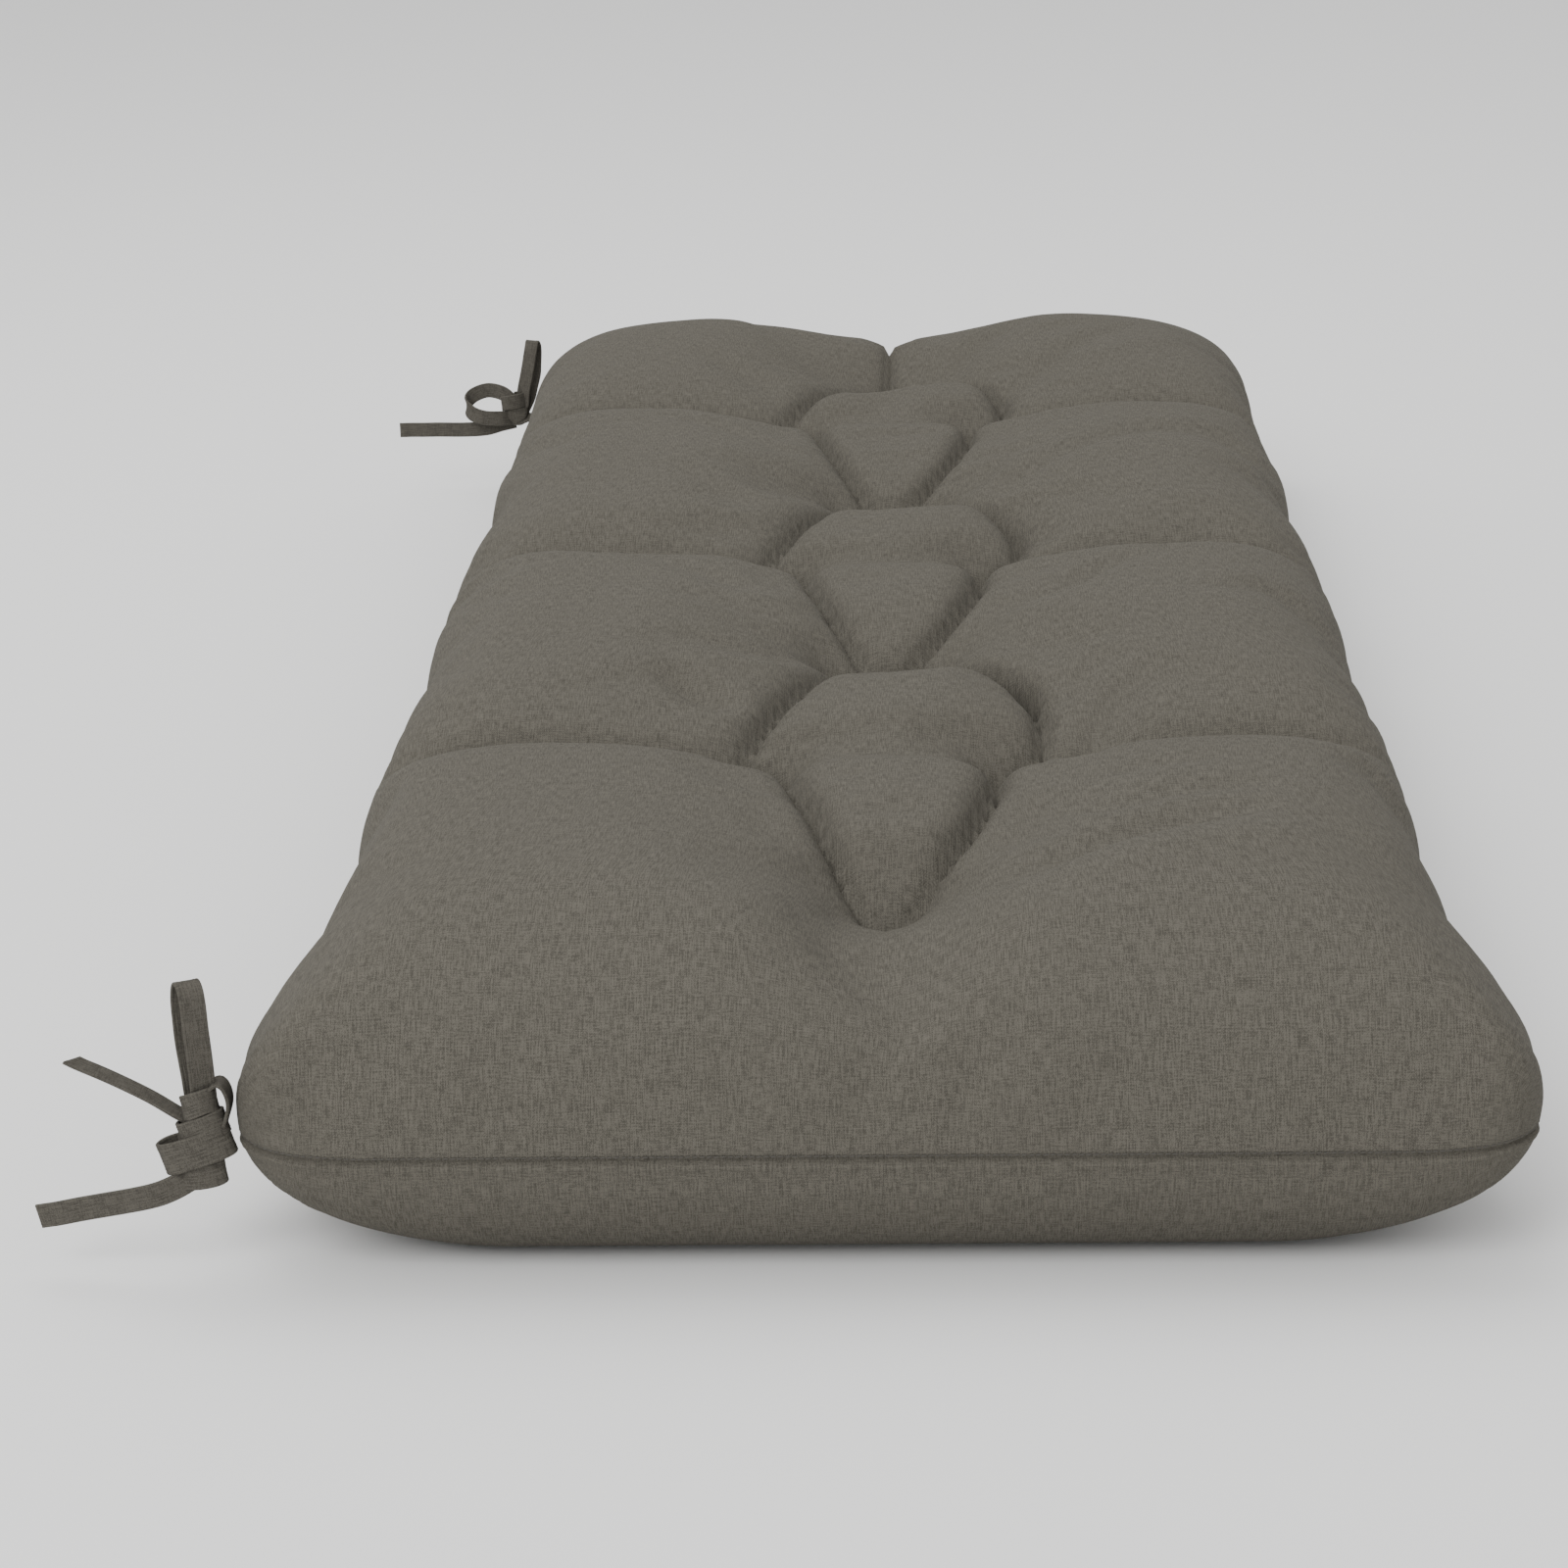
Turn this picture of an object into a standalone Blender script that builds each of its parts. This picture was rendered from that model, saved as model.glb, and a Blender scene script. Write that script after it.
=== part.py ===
"""A tufted bench cushion with a strap tied at each corner of its back edge.

Metres, +Z up. X runs along the cushion, +Y points to the edge with the ties,
and the origin is the middle of the underside, on the surface that it lies on.
"""

import collections
import math

import bmesh
import bpy
import numpy as np
from mathutils import Vector

# The cushion
LENGTH = 1.180
WIDTH = 0.457
SEAM_HEIGHT = 0.052  # the seam round the edge, above the underside
CROWN = 0.075  # the top of a puff above the seam
CORNER_RADIUS = 0.026
SHOULDER = 0.086  # the top rises from the seam over this width
UNDER_END = 0.044  # the underside falls from the seam of an end over this width
UNDER_SIDE_CELLS = 7  # and from the seam of a long edge over these grid cells
WAIST = 0.0115  # the long seams are drawn in this far between the corners
PINCH = 0.0025  # and this much more at the end of a cross valley
PULL_WIDTH = 0.038
EAR_START = 0.120  # a corner stands out from this far before the end
EAR_END = 0.055

# The tufts: one row down the middle, and pairs half way between them
TUFT_PITCH = 0.309
TUFT_SPREAD = 0.046
MIDDLE_TUFTS = [step * TUFT_PITCH for step in (-1.5, -0.5, 0.45, 1.4)]
PAIRED_TUFTS = [step * TUFT_PITCH for step in (-1.0, 0.0, 1.0)]
BULB = 0.064  # half the width of a diamond just past its pair of tufts
BULB_START = 0.10  # where it is as wide as that, as a share of its far half
LEAN = -0.010  # how far the far halves of the diamonds lean sideways
PIT_BACK = 0.010  # a pit lies this far before its tuft
BAR = 0.026  # half the length of the tuck across a single tuft
DIMPLE_DEPTH = 0.010  # a tuft on the underside
DIMPLE_RADIUS = 0.028

# Grid cells between the lines that the tufts lie on
CELLS_TO_FIRST_TUFT = 7
CELLS_BETWEEN_TUFTS = 9
CELLS_INSIDE_PAIR = 4
CELLS_OUTSIDE_PAIR = 10
SEAM_GRADING = 1.6  # 1 spaces the cells next to the seam evenly

# The ties
STRAP_WIDTH = 0.0094
STRAP_THICKNESS = 0.0014
TIE_GAP = 0.0008  # from the seam to the nearest part of a tie

CLOTH_COLOUR = (0.150, 0.138, 0.118, 1.0)
TIE_COLOUR = (0.135, 0.125, 0.106, 1.0)
CLOTH_ROUGHNESS = 0.92
HOLLOW_JOINING = 2.6  # higher: neighbouring hollows deepen each other less
NEAR_FULLNESS = 4.0  # higher: the puffs keep their height nearer a corner
FAR_FULLNESS = 1.6
SIDE_FULLNESS = 3.0  # higher: the long sides rise more steeply from the seam
CORNER_STEEPNESS = 2.0  # and this is what they come down to at a corner
SOFT_START = 0.190  # from this far before an end
SOFT_END = 0.060

# A hollow is sewn along a line. Its depth is a share of the crown at its two
# ends and half way, and its reach is how far it pulls the cloth down sideways.
Hollow = collections.namedtuple("Hollow", "line first middle last reach sharp")

# One run of strap: the way its width points, and the points along its middle,
# each (out, back, up) in millimetres from the corner of the seam.
Run = collections.namedtuple("Run", "width_points route")
Knot = collections.namedtuple("Knot", "middle half_size")

NEAR_KNOT = Knot(middle=(14, 3, -3), half_size=(11, 4.2, 11))
NEAR_RUNS = {
    "loop": Run(
        width_points=(0.97, 0.22, 0.0),
        route=(
            (13, 2, 4), (13.3, 0, 17), (14, -1, 30), (15, -1.5, 41), (16.5, -0.5, 50),
            (18.6, 2.5, 56.5), (20.3, 6, 57), (20.8, 8.5, 52), (19.5, 8.5, 42),
            (17.5, 7.5, 30), (15.5, 6, 20), (14, 4, 4),
        ),
    ),
    "wrap": Run(
        width_points=(0.12, 0.0, 0.99),
        route=(
            (12, 8.5, 10), (8.5, 5, 13), (8.2, 0, 15.5), (12, -3.2, 15.5),
            (17, -2.5, 13.5), (19.2, 2, 11), (17, 7, 9), (12, 6, 6),
        ),
    ),
    "root": Run(
        width_points=(0.0, 1.0, 0.0),
        route=((10, 2, 19), (7.4, 2.6, 21.2), (4.6, 3, 19.5), (3.4, 3.5, 12), (6, 3.5, 2)),
    ),
    "band": Run(
        width_points=(0.29, 0.0, 0.957),
        route=(
            (9, 5, 0), (4.4, 4, 0.4), (3.6, 0, 0.4), (8, -2.8, -1), (16, -3.6, -3.5),
            (25, -2.6, -6.5), (28.2, 2, -8), (25, 6, -7), (14, 7, -4),
        ),
    ),
    "fold": Run(
        width_points=(0.10, 0.0, 0.995),
        route=(
            (12, 5, -9), (6, 4, -9.5), (4.4, 0.5, -9.8), (9, -1.2, -10.8),
            (17, -1.6, -11.6), (23, 0.5, -12), (24, 4, -11), (14, 6, -8),
        ),
    ),
    "upper_tail": Run(
        width_points=(0.0, 0.985, 0.17),
        route=((14, 3, 3), (21, 3.4, 8.5), (31, 3.8, 14.6), (45, 3.6, 22.6), (61, 3, 31)),
    ),
    "lower_tail": Run(
        width_points=(0.22, 0.0, 0.976),
        route=(
            (12, 3, -10), (18, -0.6, -14.5), (25, -2.4, -18), (34, -2.6, -21),
            (52, -1, -25.2), (74.5, 1.2, -30.2),
        ),
    ),
}

FAR_KNOT = Knot(middle=(13, 0, 2), half_size=(7.5, 4.2, 8.5))
FAR_RUNS = {
    "upright_loop": Run(
        width_points=(0.95, -0.30, 0.0),
        route=(
            (9, 0, 6), (7, -1.5, 18), (4, -2.5, 32), (1.6, -2, 44), (0.6, 0.2, 48.6),
            (-0.6, 2.8, 44), (0.5, 5, 28), (4.5, 4.5, 12), (9, 3, 2),
        ),
    ),
    "round_loop": Run(
        width_points=(0.05, 0.25, 0.967),
        route=(
            (14, 0, 9), (22, 5.5, 13.5), (32, 8.5, 15), (41.5, 6, 12), (44.6, 0, 7.5),
            (41, -5.5, 3), (33, -8, 0.5), (23, -6, -0.5), (14, -1, -1),
        ),
    ),
    "tail": Run(
        width_points=(0.0, 0.05, 0.999),
        route=(
            (14, 2, -4), (22, 0, -5.4), (32, -3, -7.4), (46, -4, -8), (66, -3, -8),
            (89, -1, -8.4),
        ),
    ),
    "wrap": Run(
        width_points=(0.10, 0.0, 0.995),
        route=(
            (14, 5, 10), (7.5, 4.6, 10.6), (6.2, 0, 10.8), (11, -4.2, 10.4),
            (18, -4.6, 9.4), (21.6, -1, 8), (20, 4, 7), (14, 3, 6),
        ),
    ),
    "root": Run(
        width_points=(0.45, 0.85, 0.27),
        route=((12, 0, -3), (7, -0.6, -1.4), (4.2, 0, 0.2), (3.4, 1, 0.6)),
    ),
}
STRAP_STEP = 0.0026  # between two cross sections of a strap


def clear_scene():
    for obj in list(bpy.data.objects):
        bpy.data.objects.remove(obj)


def new_collection(name):
    collection = bpy.data.collections.new(name)
    bpy.context.scene.collection.children.link(collection)
    return collection


def cloth_material(name, colour):
    material = bpy.data.materials.new(name)
    material.use_nodes = True
    surface = material.node_tree.nodes["Principled BSDF"]
    surface.inputs["Base Color"].default_value = colour
    surface.inputs["Roughness"].default_value = CLOTH_ROUGHNESS
    surface.inputs["Metallic"].default_value = 0.0
    return material


def straight_line(start, end, count=30):
    share = np.linspace(0.0, 1.0, count)[:, None]
    return np.array(start) * (1 - share) + np.array(end) * share


def diamond_side(pair_x, middle_x, side):
    """The sewn line from one tuft of a pair to a tuft of the middle row."""
    share = np.linspace(0.0, 1.0, 60)
    along = pair_x + share * (middle_x - pair_x)
    lean = 0.0
    if middle_x < pair_x:
        across = TUFT_SPREAD * (1 - share**1.6) ** 0.66
    else:
        past = np.clip((share - BULB_START) / (1 - BULB_START), 0.0, 1.0)
        swell = np.sin(math.pi / 2 * np.clip(share / BULB_START, 0.0, 1.0))
        across = TUFT_SPREAD + (BULB - TUFT_SPREAD) * swell
        across = across * (1 - past**1.7) ** 0.62
        lean = LEAN * np.sin(math.pi * share)
    return np.stack([along, side * across + lean], axis=1)


def diamond_hollows():
    """The sewn lines round the puffs, and the soft slopes down to them."""
    hollows = []
    for middle_x in MIDDLE_TUFTS:
        for pair_x in PAIRED_TUFTS:
            if abs(middle_x - pair_x) < TUFT_PITCH:
                reach = 0.034 if middle_x < pair_x else 0.042
                for side in (-1, 1):
                    line = diamond_side(pair_x, middle_x, side)
                    hollows.append(Hollow(line, 0.46, 0.44, 0.58, reach, True))
                    hollows.append(Hollow(line, 0.16, 0.15, 0.20, 0.105, False))
    for middle_x in MIDDLE_TUFTS[1:3]:
        bar = straight_line((middle_x, -BAR), (middle_x, BAR))
        hollows.append(Hollow(bar, 0.62, 0.62, 0.62, 0.072, True))
    return hollows


def valley_hollows():
    """The valleys from the paired tufts to the long edges, and the pits."""
    hollows = []
    for pair_x in PAIRED_TUFTS:
        for side in (-1, 1):
            tuft = (pair_x + 0.006, side * BULB)
            line = straight_line(tuft, (pair_x, side * WIDTH / 2))
            hollows.append(Hollow(line, 0.40, 0.36, 0.20, 0.085, True))
            hollows.append(Hollow(line, 0.10, 0.06, 0.04, 0.160, False))
            pit_x = pair_x - PIT_BACK
            line = straight_line((pit_x, side * 0.040), (pit_x, side * 0.050))
            hollows.append(Hollow(line, 0.66, 0.66, 0.66, 0.030, True))
        line = straight_line((pair_x, -TUFT_SPREAD), (pair_x, TUFT_SPREAD))
        hollows.append(Hollow(line, 0.30, 0.15, 0.30, 0.050, False))
    return hollows


def row_hollows():
    """The dip down the middle, and how it runs out at the two ends."""
    near, far = (MIDDLE_TUFTS[0], 0.0), (MIDDLE_TUFTS[-1], 0.0)
    near_end = straight_line(near, (-LENGTH / 2, 0.0))
    far_end = straight_line(far, (LENGTH / 2, 0.0))
    return [
        Hollow(straight_line(near, far), 0.04, 0.15, 0.25, 0.085, False),
        Hollow(near_end, 0.50, 0.30, 0.03, 0.062, False),
        Hollow(near_end, 0.20, 0.12, 0.00, 0.035, True),
        Hollow(far_end, 0.50, 0.30, 0.20, 0.030, True),
        Hollow(far_end, 0.26, 0.24, 0.20, 0.120, False),
    ]


def pulled_down(points, hollow):
    """The share of the crown that one hollow takes from each point."""
    gaps = points[:, None, :] - hollow.line[None, :, :]
    distance = np.sqrt((gaps**2).sum(axis=2))
    nearest = distance.argmin(axis=1)
    share = nearest / (len(hollow.line) - 1)
    from_middle = 2 * share - 1
    end_depth = np.where(from_middle < 0, hollow.first, hollow.last)
    depth = hollow.middle + (end_depth - hollow.middle) * np.abs(from_middle) ** 1.6
    away = np.clip(distance.min(axis=1) / hollow.reach, 0.0, 1.0)
    if hollow.sharp:
        return depth * (1 - np.sqrt(1 - (1 - away) ** 2))
    return depth * (0.5 + 0.5 * np.cos(math.pi * away))


def eased(value, start, end):
    """From 0 at the start to 1 at the end, level at both."""
    share = np.clip((value - start) / (end - start), 0.0, 1.0)
    return share**2 * (3 - 2 * share)


def shoulder(inset, width, fullness=2.0):
    """How far the cloth has risen, from 0 at the seam to 1, this far in."""
    left = 1 - np.clip(inset / width, 0.0, 1.0)
    return (1 - left**fullness) ** (1 / fullness)


def joined_inset(points, insets):
    """The distance in from the seam, run smoothly round the corners."""
    far = np.clip(points[:, 0] / (LENGTH / 2), 0.0, 1.0) ** 2
    away = eased(insets[:, 0], SOFT_END, SOFT_START)
    fullness = CORNER_STEEPNESS + (SIDE_FULLNESS - CORNER_STEEPNESS) * away
    steep = shoulder(insets[:, 1], SHOULDER, fullness)
    across = SHOULDER * (1 - np.sqrt(1 - steep**2)) + np.maximum(
        insets[:, 1] - SHOULDER, 0.0
    )
    along, across = np.maximum(insets[:, 0], 1e-12), np.maximum(across, 1e-12)
    power = NEAR_FULLNESS + (FAR_FULLNESS - NEAR_FULLNESS) * far
    larger, smaller = np.maximum(along, across), np.minimum(along, across)
    return smaller / (1 + (smaller / larger) ** power) ** (1 / power)


def top_heights(points, insets):
    hollows = diamond_hollows() + valley_hollows() + row_hollows()
    depths = [pulled_down(points, hollow) for hollow in hollows]
    depth = sum(depth**HOLLOW_JOINING for depth in depths) ** (1 / HOLLOW_JOINING)
    rise = shoulder(joined_inset(points, insets), SHOULDER)
    return SEAM_HEIGHT + CROWN * rise * (1 - depth)


def underside_fall(insets):
    """From 0 at the seam to 1 on the flat that the cushion lies on."""
    across = grid_lines()[1]
    under_side = across[UNDER_SIDE_CELLS] - across[0]
    return shoulder(insets[:, 0], UNDER_END) * shoulder(insets[:, 1], under_side)


def underside_heights(points, insets):
    heights = SEAM_HEIGHT * (1 - underside_fall(insets))
    tufts = [(x, 0.0) for x in MIDDLE_TUFTS]
    tufts += [(x, side * TUFT_SPREAD) for x in PAIRED_TUFTS for side in (-1, 1)]
    for tuft in tufts:
        away = np.hypot(*(points - np.array(tuft)).T) / DIMPLE_RADIUS
        away = np.clip(away, 0.0, 1.0)
        heights += DIMPLE_DEPTH * (1 - np.sqrt(1 - (1 - away) ** 2))
    return heights


def divided(stops, counts):
    """The lines between the stops, closer together next to the seam."""
    lines = []
    for start, end, count in zip(stops, stops[1:], counts):
        share = np.arange(count) / count
        if start == stops[0]:
            share = share**SEAM_GRADING
        elif end == stops[-1]:
            share = 1 - (1 - share) ** SEAM_GRADING
        lines += list(start + (end - start) * share)
    return lines + [stops[-1]]


def grid_lines():
    """The places of the grid's lines along and across the cushion."""
    along = [-LENGTH / 2] + sorted(MIDDLE_TUFTS + PAIRED_TUFTS) + [LENGTH / 2]
    cells = [CELLS_BETWEEN_TUFTS] * (len(along) - 1)
    cells[0] = cells[-1] = CELLS_TO_FIRST_TUFT
    across = [-WIDTH / 2, -BULB, 0.0, BULB, WIDTH / 2]
    rows = [CELLS_OUTSIDE_PAIR, CELLS_INSIDE_PAIR, CELLS_INSIDE_PAIR, CELLS_OUTSIDE_PAIR]
    return divided(along, cells), divided(across, rows)


def rounded_plan(points):
    """Moves the grid's points so that its corners have the corner radius."""
    rounded = points.copy()
    core = np.array([LENGTH / 2, WIDTH / 2]) - CORNER_RADIUS
    past = (np.abs(points) - core) / CORNER_RADIUS
    corner = (past > 0).all(axis=1)
    along, across = past[corner].T
    bent = np.stack(
        [along * np.sqrt(1 - across**2 / 2), across * np.sqrt(1 - along**2 / 2)], axis=1
    )
    rounded[corner] = np.sign(points[corner]) * (core + bent * CORNER_RADIUS)
    return rounded


def drawn_in_plan(points, share):
    """Pulls the long edges in between the corners, which stand out as ears.

    share is how much of that reaches each point, from 1 at the seam.
    """
    drawn = points.copy()
    pull = sum(np.exp(-(((points[:, 0] - x) / PULL_WIDTH) ** 2)) for x in PAIRED_TUFTS)
    away = eased(LENGTH / 2 - np.abs(points[:, 0]), EAR_END, EAR_START)
    shift = (WAIST * away + PINCH * pull) * share
    drawn[:, 1] -= points[:, 1] / (WIDTH / 2) * shift
    return drawn


def cushion_half(mesh, along, across, heights, facing_up):
    """Adds the top or the underside to the mesh, as a grid."""
    made = bmesh.ops.create_grid(
        mesh, x_segments=len(along) - 1, y_segments=len(across) - 1, size=0.5
    )
    flat = np.array([tuple(vertex.co) for vertex in made["verts"]])[:, :2] + 0.5
    column = np.rint(flat[:, 0] * (len(along) - 1)).astype(int)
    row = np.rint(flat[:, 1] * (len(across) - 1)).astype(int)
    square = np.stack([np.array(along)[column], np.array(across)[row]], axis=1)
    insets = np.array([LENGTH / 2, WIDTH / 2]) - np.abs(square)
    plan = rounded_plan(square)
    levels = heights(plan, insets)
    placed = drawn_in_plan(plan, 1.0 if facing_up else 1 - underside_fall(insets))
    for vertex, place, level in zip(made["verts"], placed, levels):
        vertex.co = (place[0], place[1], level)
    if not facing_up:
        faces = {face for vertex in made["verts"] for face in vertex.link_faces}
        bmesh.ops.reverse_faces(mesh, faces=list(faces))


def build_cushion(collection, material):
    mesh = bmesh.new()
    along, across = grid_lines()
    cushion_half(mesh, along, across, top_heights, facing_up=True)
    cushion_half(mesh, along, across, underside_heights, facing_up=False)
    bmesh.ops.remove_doubles(mesh, verts=mesh.verts, dist=1e-5)
    data = bpy.data.meshes.new("cushion")
    mesh.to_mesh(data)
    mesh.free()
    data.materials.append(material)
    data.shade_smooth()
    cushion = bpy.data.objects.new("cushion", data)
    collection.objects.link(cushion)
    return cushion


def smooth_route(route):
    """Points every few millimetres on a smooth curve through the route."""
    stops = [Vector(stop) * 0.001 for stop in route]
    ends = [2 * stops[0] - stops[1]] + stops + [2 * stops[-1] - stops[-2]]
    points = [stops[0]]
    for before, start, end, after in zip(ends, ends[1:], ends[2:], ends[3:]):
        steps = max(1, round((end - start).length / STRAP_STEP))
        for step in range(1, steps + 1):
            t = step / steps
            points.append(
                0.5 * (
                    2 * start
                    + (end - before) * t
                    + (2 * before - 5 * start + 4 * end - after) * t**2
                    + (3 * start - before - 3 * end + after) * t**3
                )
            )
    return points


def tie_frame(corner):
    """Turns (out, back, up) from a corner of the seam into world places."""
    return lambda out, back, up: Vector(
        (corner[0] + back, corner[1] + out, corner[2] + up)
    )


def build_run(name, run, place, collection):
    """One run of strap: an open strip with Solidify."""
    width = Vector(run.width_points).normalized() * STRAP_WIDTH / 2
    edges = []
    for point in smooth_route(run.route):
        edges.append((place(*(point - width)), place(*(point + width))))
    corners = [corner for edge in edges for corner in edge]
    faces = [(2 * i, 2 * i + 2, 2 * i + 3, 2 * i + 1) for i in range(len(edges) - 1)]
    data = bpy.data.meshes.new(name)
    data.from_pydata(corners, [], faces)
    strip = bpy.data.objects.new(name, data)
    collection.objects.link(strip)
    solidify = strip.modifiers.new("strap_thickness", "SOLIDIFY")
    solidify.thickness = STRAP_THICKNESS
    solidify.offset = 0.0
    return strip


def build_knot(name, knot, place, collection, material):
    """The knotted core that every run of one tie goes into."""
    mesh = bmesh.new()
    bmesh.ops.create_icosphere(mesh, subdivisions=2, radius=1.0)
    half_size = Vector(knot.half_size) * 0.001
    middle = Vector(knot.middle) * 0.001
    for vertex in mesh.verts:
        local = [
            centre + size * math.copysign(abs(share) ** 0.8, share)
            for centre, size, share in zip(middle, half_size, vertex.co)
        ]
        vertex.co = place(*local)
    bmesh.ops.recalc_face_normals(mesh, faces=mesh.faces)
    data = bpy.data.meshes.new(name)
    mesh.to_mesh(data)
    mesh.free()
    data.materials.append(material)
    core = bpy.data.objects.new(name, data)
    collection.objects.link(core)
    return core


def build_tie(name, corner, knot, runs, collections_made, material):
    """A bow: the knot with each run of strap joined to it."""
    parts, cutters = collections_made
    place = tie_frame(corner)
    tie = build_knot(name, knot, place, parts, material)
    for run_name, run in runs.items():
        strip = build_run(f"{name}_{run_name}", run, place, cutters)
        strip.hide_render = True
        strip.display_type = "WIRE"
        joined = tie.modifiers.new(run_name, "BOOLEAN")
        joined.operation = "UNION"
        joined.solver = "EXACT"
        joined.object = strip
    return tie


def main():
    clear_scene()
    parts = new_collection("bench_cushion")
    cutters = new_collection("strap_runs")
    cutters.hide_render = True
    cloth = cloth_material("cushion_cloth", CLOTH_COLOUR)
    strap = cloth_material("tie_strap", TIE_COLOUR)
    build_cushion(parts, cloth)
    edge = WIDTH / 2 + TIE_GAP
    inset = CORNER_RADIUS * 0.6
    corners = {
        "near_tie": ((inset - LENGTH / 2, edge, SEAM_HEIGHT), NEAR_KNOT, NEAR_RUNS),
        "far_tie": ((LENGTH / 2 - inset, edge, SEAM_HEIGHT), FAR_KNOT, FAR_RUNS),
    }
    for name, (corner, knot, runs) in corners.items():
        build_tie(name, corner, knot, runs, (parts, cutters), strap)


if __name__ == "__main__":
    main()
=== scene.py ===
"""The looks of a tufted bench cushion with a strap tied at each back corner.

Metres, +Z up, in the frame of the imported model: X runs along the cushion, +Y
points to the edge with the ties, and the cushion lies on z = 0.
"""

import logging
import math
from collections.abc import Iterable, Sequence
from dataclasses import dataclass, field
from enum import Enum

import bmesh
import bpy
import numpy as np
from mathutils import Matrix, Vector

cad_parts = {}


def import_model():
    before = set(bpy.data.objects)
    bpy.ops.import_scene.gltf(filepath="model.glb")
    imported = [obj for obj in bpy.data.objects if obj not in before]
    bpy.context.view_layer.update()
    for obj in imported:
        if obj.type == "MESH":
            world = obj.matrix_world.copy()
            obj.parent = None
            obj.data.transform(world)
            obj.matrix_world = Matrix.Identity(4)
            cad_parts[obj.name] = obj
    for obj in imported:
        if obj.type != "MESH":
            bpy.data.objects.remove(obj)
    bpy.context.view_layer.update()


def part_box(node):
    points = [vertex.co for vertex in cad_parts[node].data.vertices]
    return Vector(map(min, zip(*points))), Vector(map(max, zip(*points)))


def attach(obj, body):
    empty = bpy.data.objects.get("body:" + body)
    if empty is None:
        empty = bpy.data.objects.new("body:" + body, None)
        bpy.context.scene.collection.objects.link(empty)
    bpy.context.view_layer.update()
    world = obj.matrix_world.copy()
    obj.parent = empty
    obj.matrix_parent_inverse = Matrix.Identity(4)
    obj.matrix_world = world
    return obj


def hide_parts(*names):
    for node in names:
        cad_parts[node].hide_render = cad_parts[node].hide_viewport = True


LOG = logging.getLogger("bench_cushion")
BODY = "root"
FLAT_MAP = "cloth_flat"
MILLIMETRE = 0.001
CUSHION_WIDTH = 0.457
TIE_GAP = 0.0008
TIE_INSET = 0.0156
NEAR_STRAP_LENGTH = 0.50
FAR_STRAP_LENGTH = 0.38
NOISE_ROUGHNESS = 0.6
OWN_WEIGHT = 0.5
NEIGHBOUR_WEIGHT = 0.125
SMALLEST = 1e-12

Colour = tuple[float, float, float]
Triple = tuple[float, float, float]


class Panel(Enum):
    """The two panels that meet at the seam."""

    TOP = "top"
    UNDERSIDE = "underside"


class Wire:
    """One output of a shader tree that takes part in Python arithmetic."""

    def __init__(self, tree: "ShaderTree", socket: bpy.types.NodeSocket) -> None:
        """Wraps a socket of a tree.

        Args:
            tree: The tree that new Math nodes are added to.
            socket: The output that this wire starts from.
        """
        self.tree = tree
        self.socket = socket

    def _math(self, operation: str, first: object, second: object) -> "Wire":
        """Adds one Math node.

        Args:
            operation: What the node does.
            first: Its first value or wire.
            second: Its second value or wire.

        Returns:
            The node's output.
        """
        return self.tree.node(
            "ShaderNodeMath", {"operation": operation}, {0: first, 1: second}
        )

    def __add__(self, other: object) -> "Wire":
        """Returns self + other."""
        return self._math("ADD", self, other)

    def __radd__(self, other: object) -> "Wire":
        """Returns other + self."""
        return self._math("ADD", other, self)

    def __mul__(self, other: object) -> "Wire":
        """Returns self * other."""
        return self._math("MULTIPLY", self, other)

    def __rmul__(self, other: object) -> "Wire":
        """Returns other * self."""
        return self._math("MULTIPLY", other, self)

    def sine(self) -> "Wire":
        """Returns the sine of this wire, in radians."""
        return self._math("SINE", self, 0.0)

    def beside(self, output: str) -> "Wire":
        """Returns another output of the node that this wire starts from."""
        return Wire(self.tree, self.tree.find(self.socket.node.outputs, output))


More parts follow.
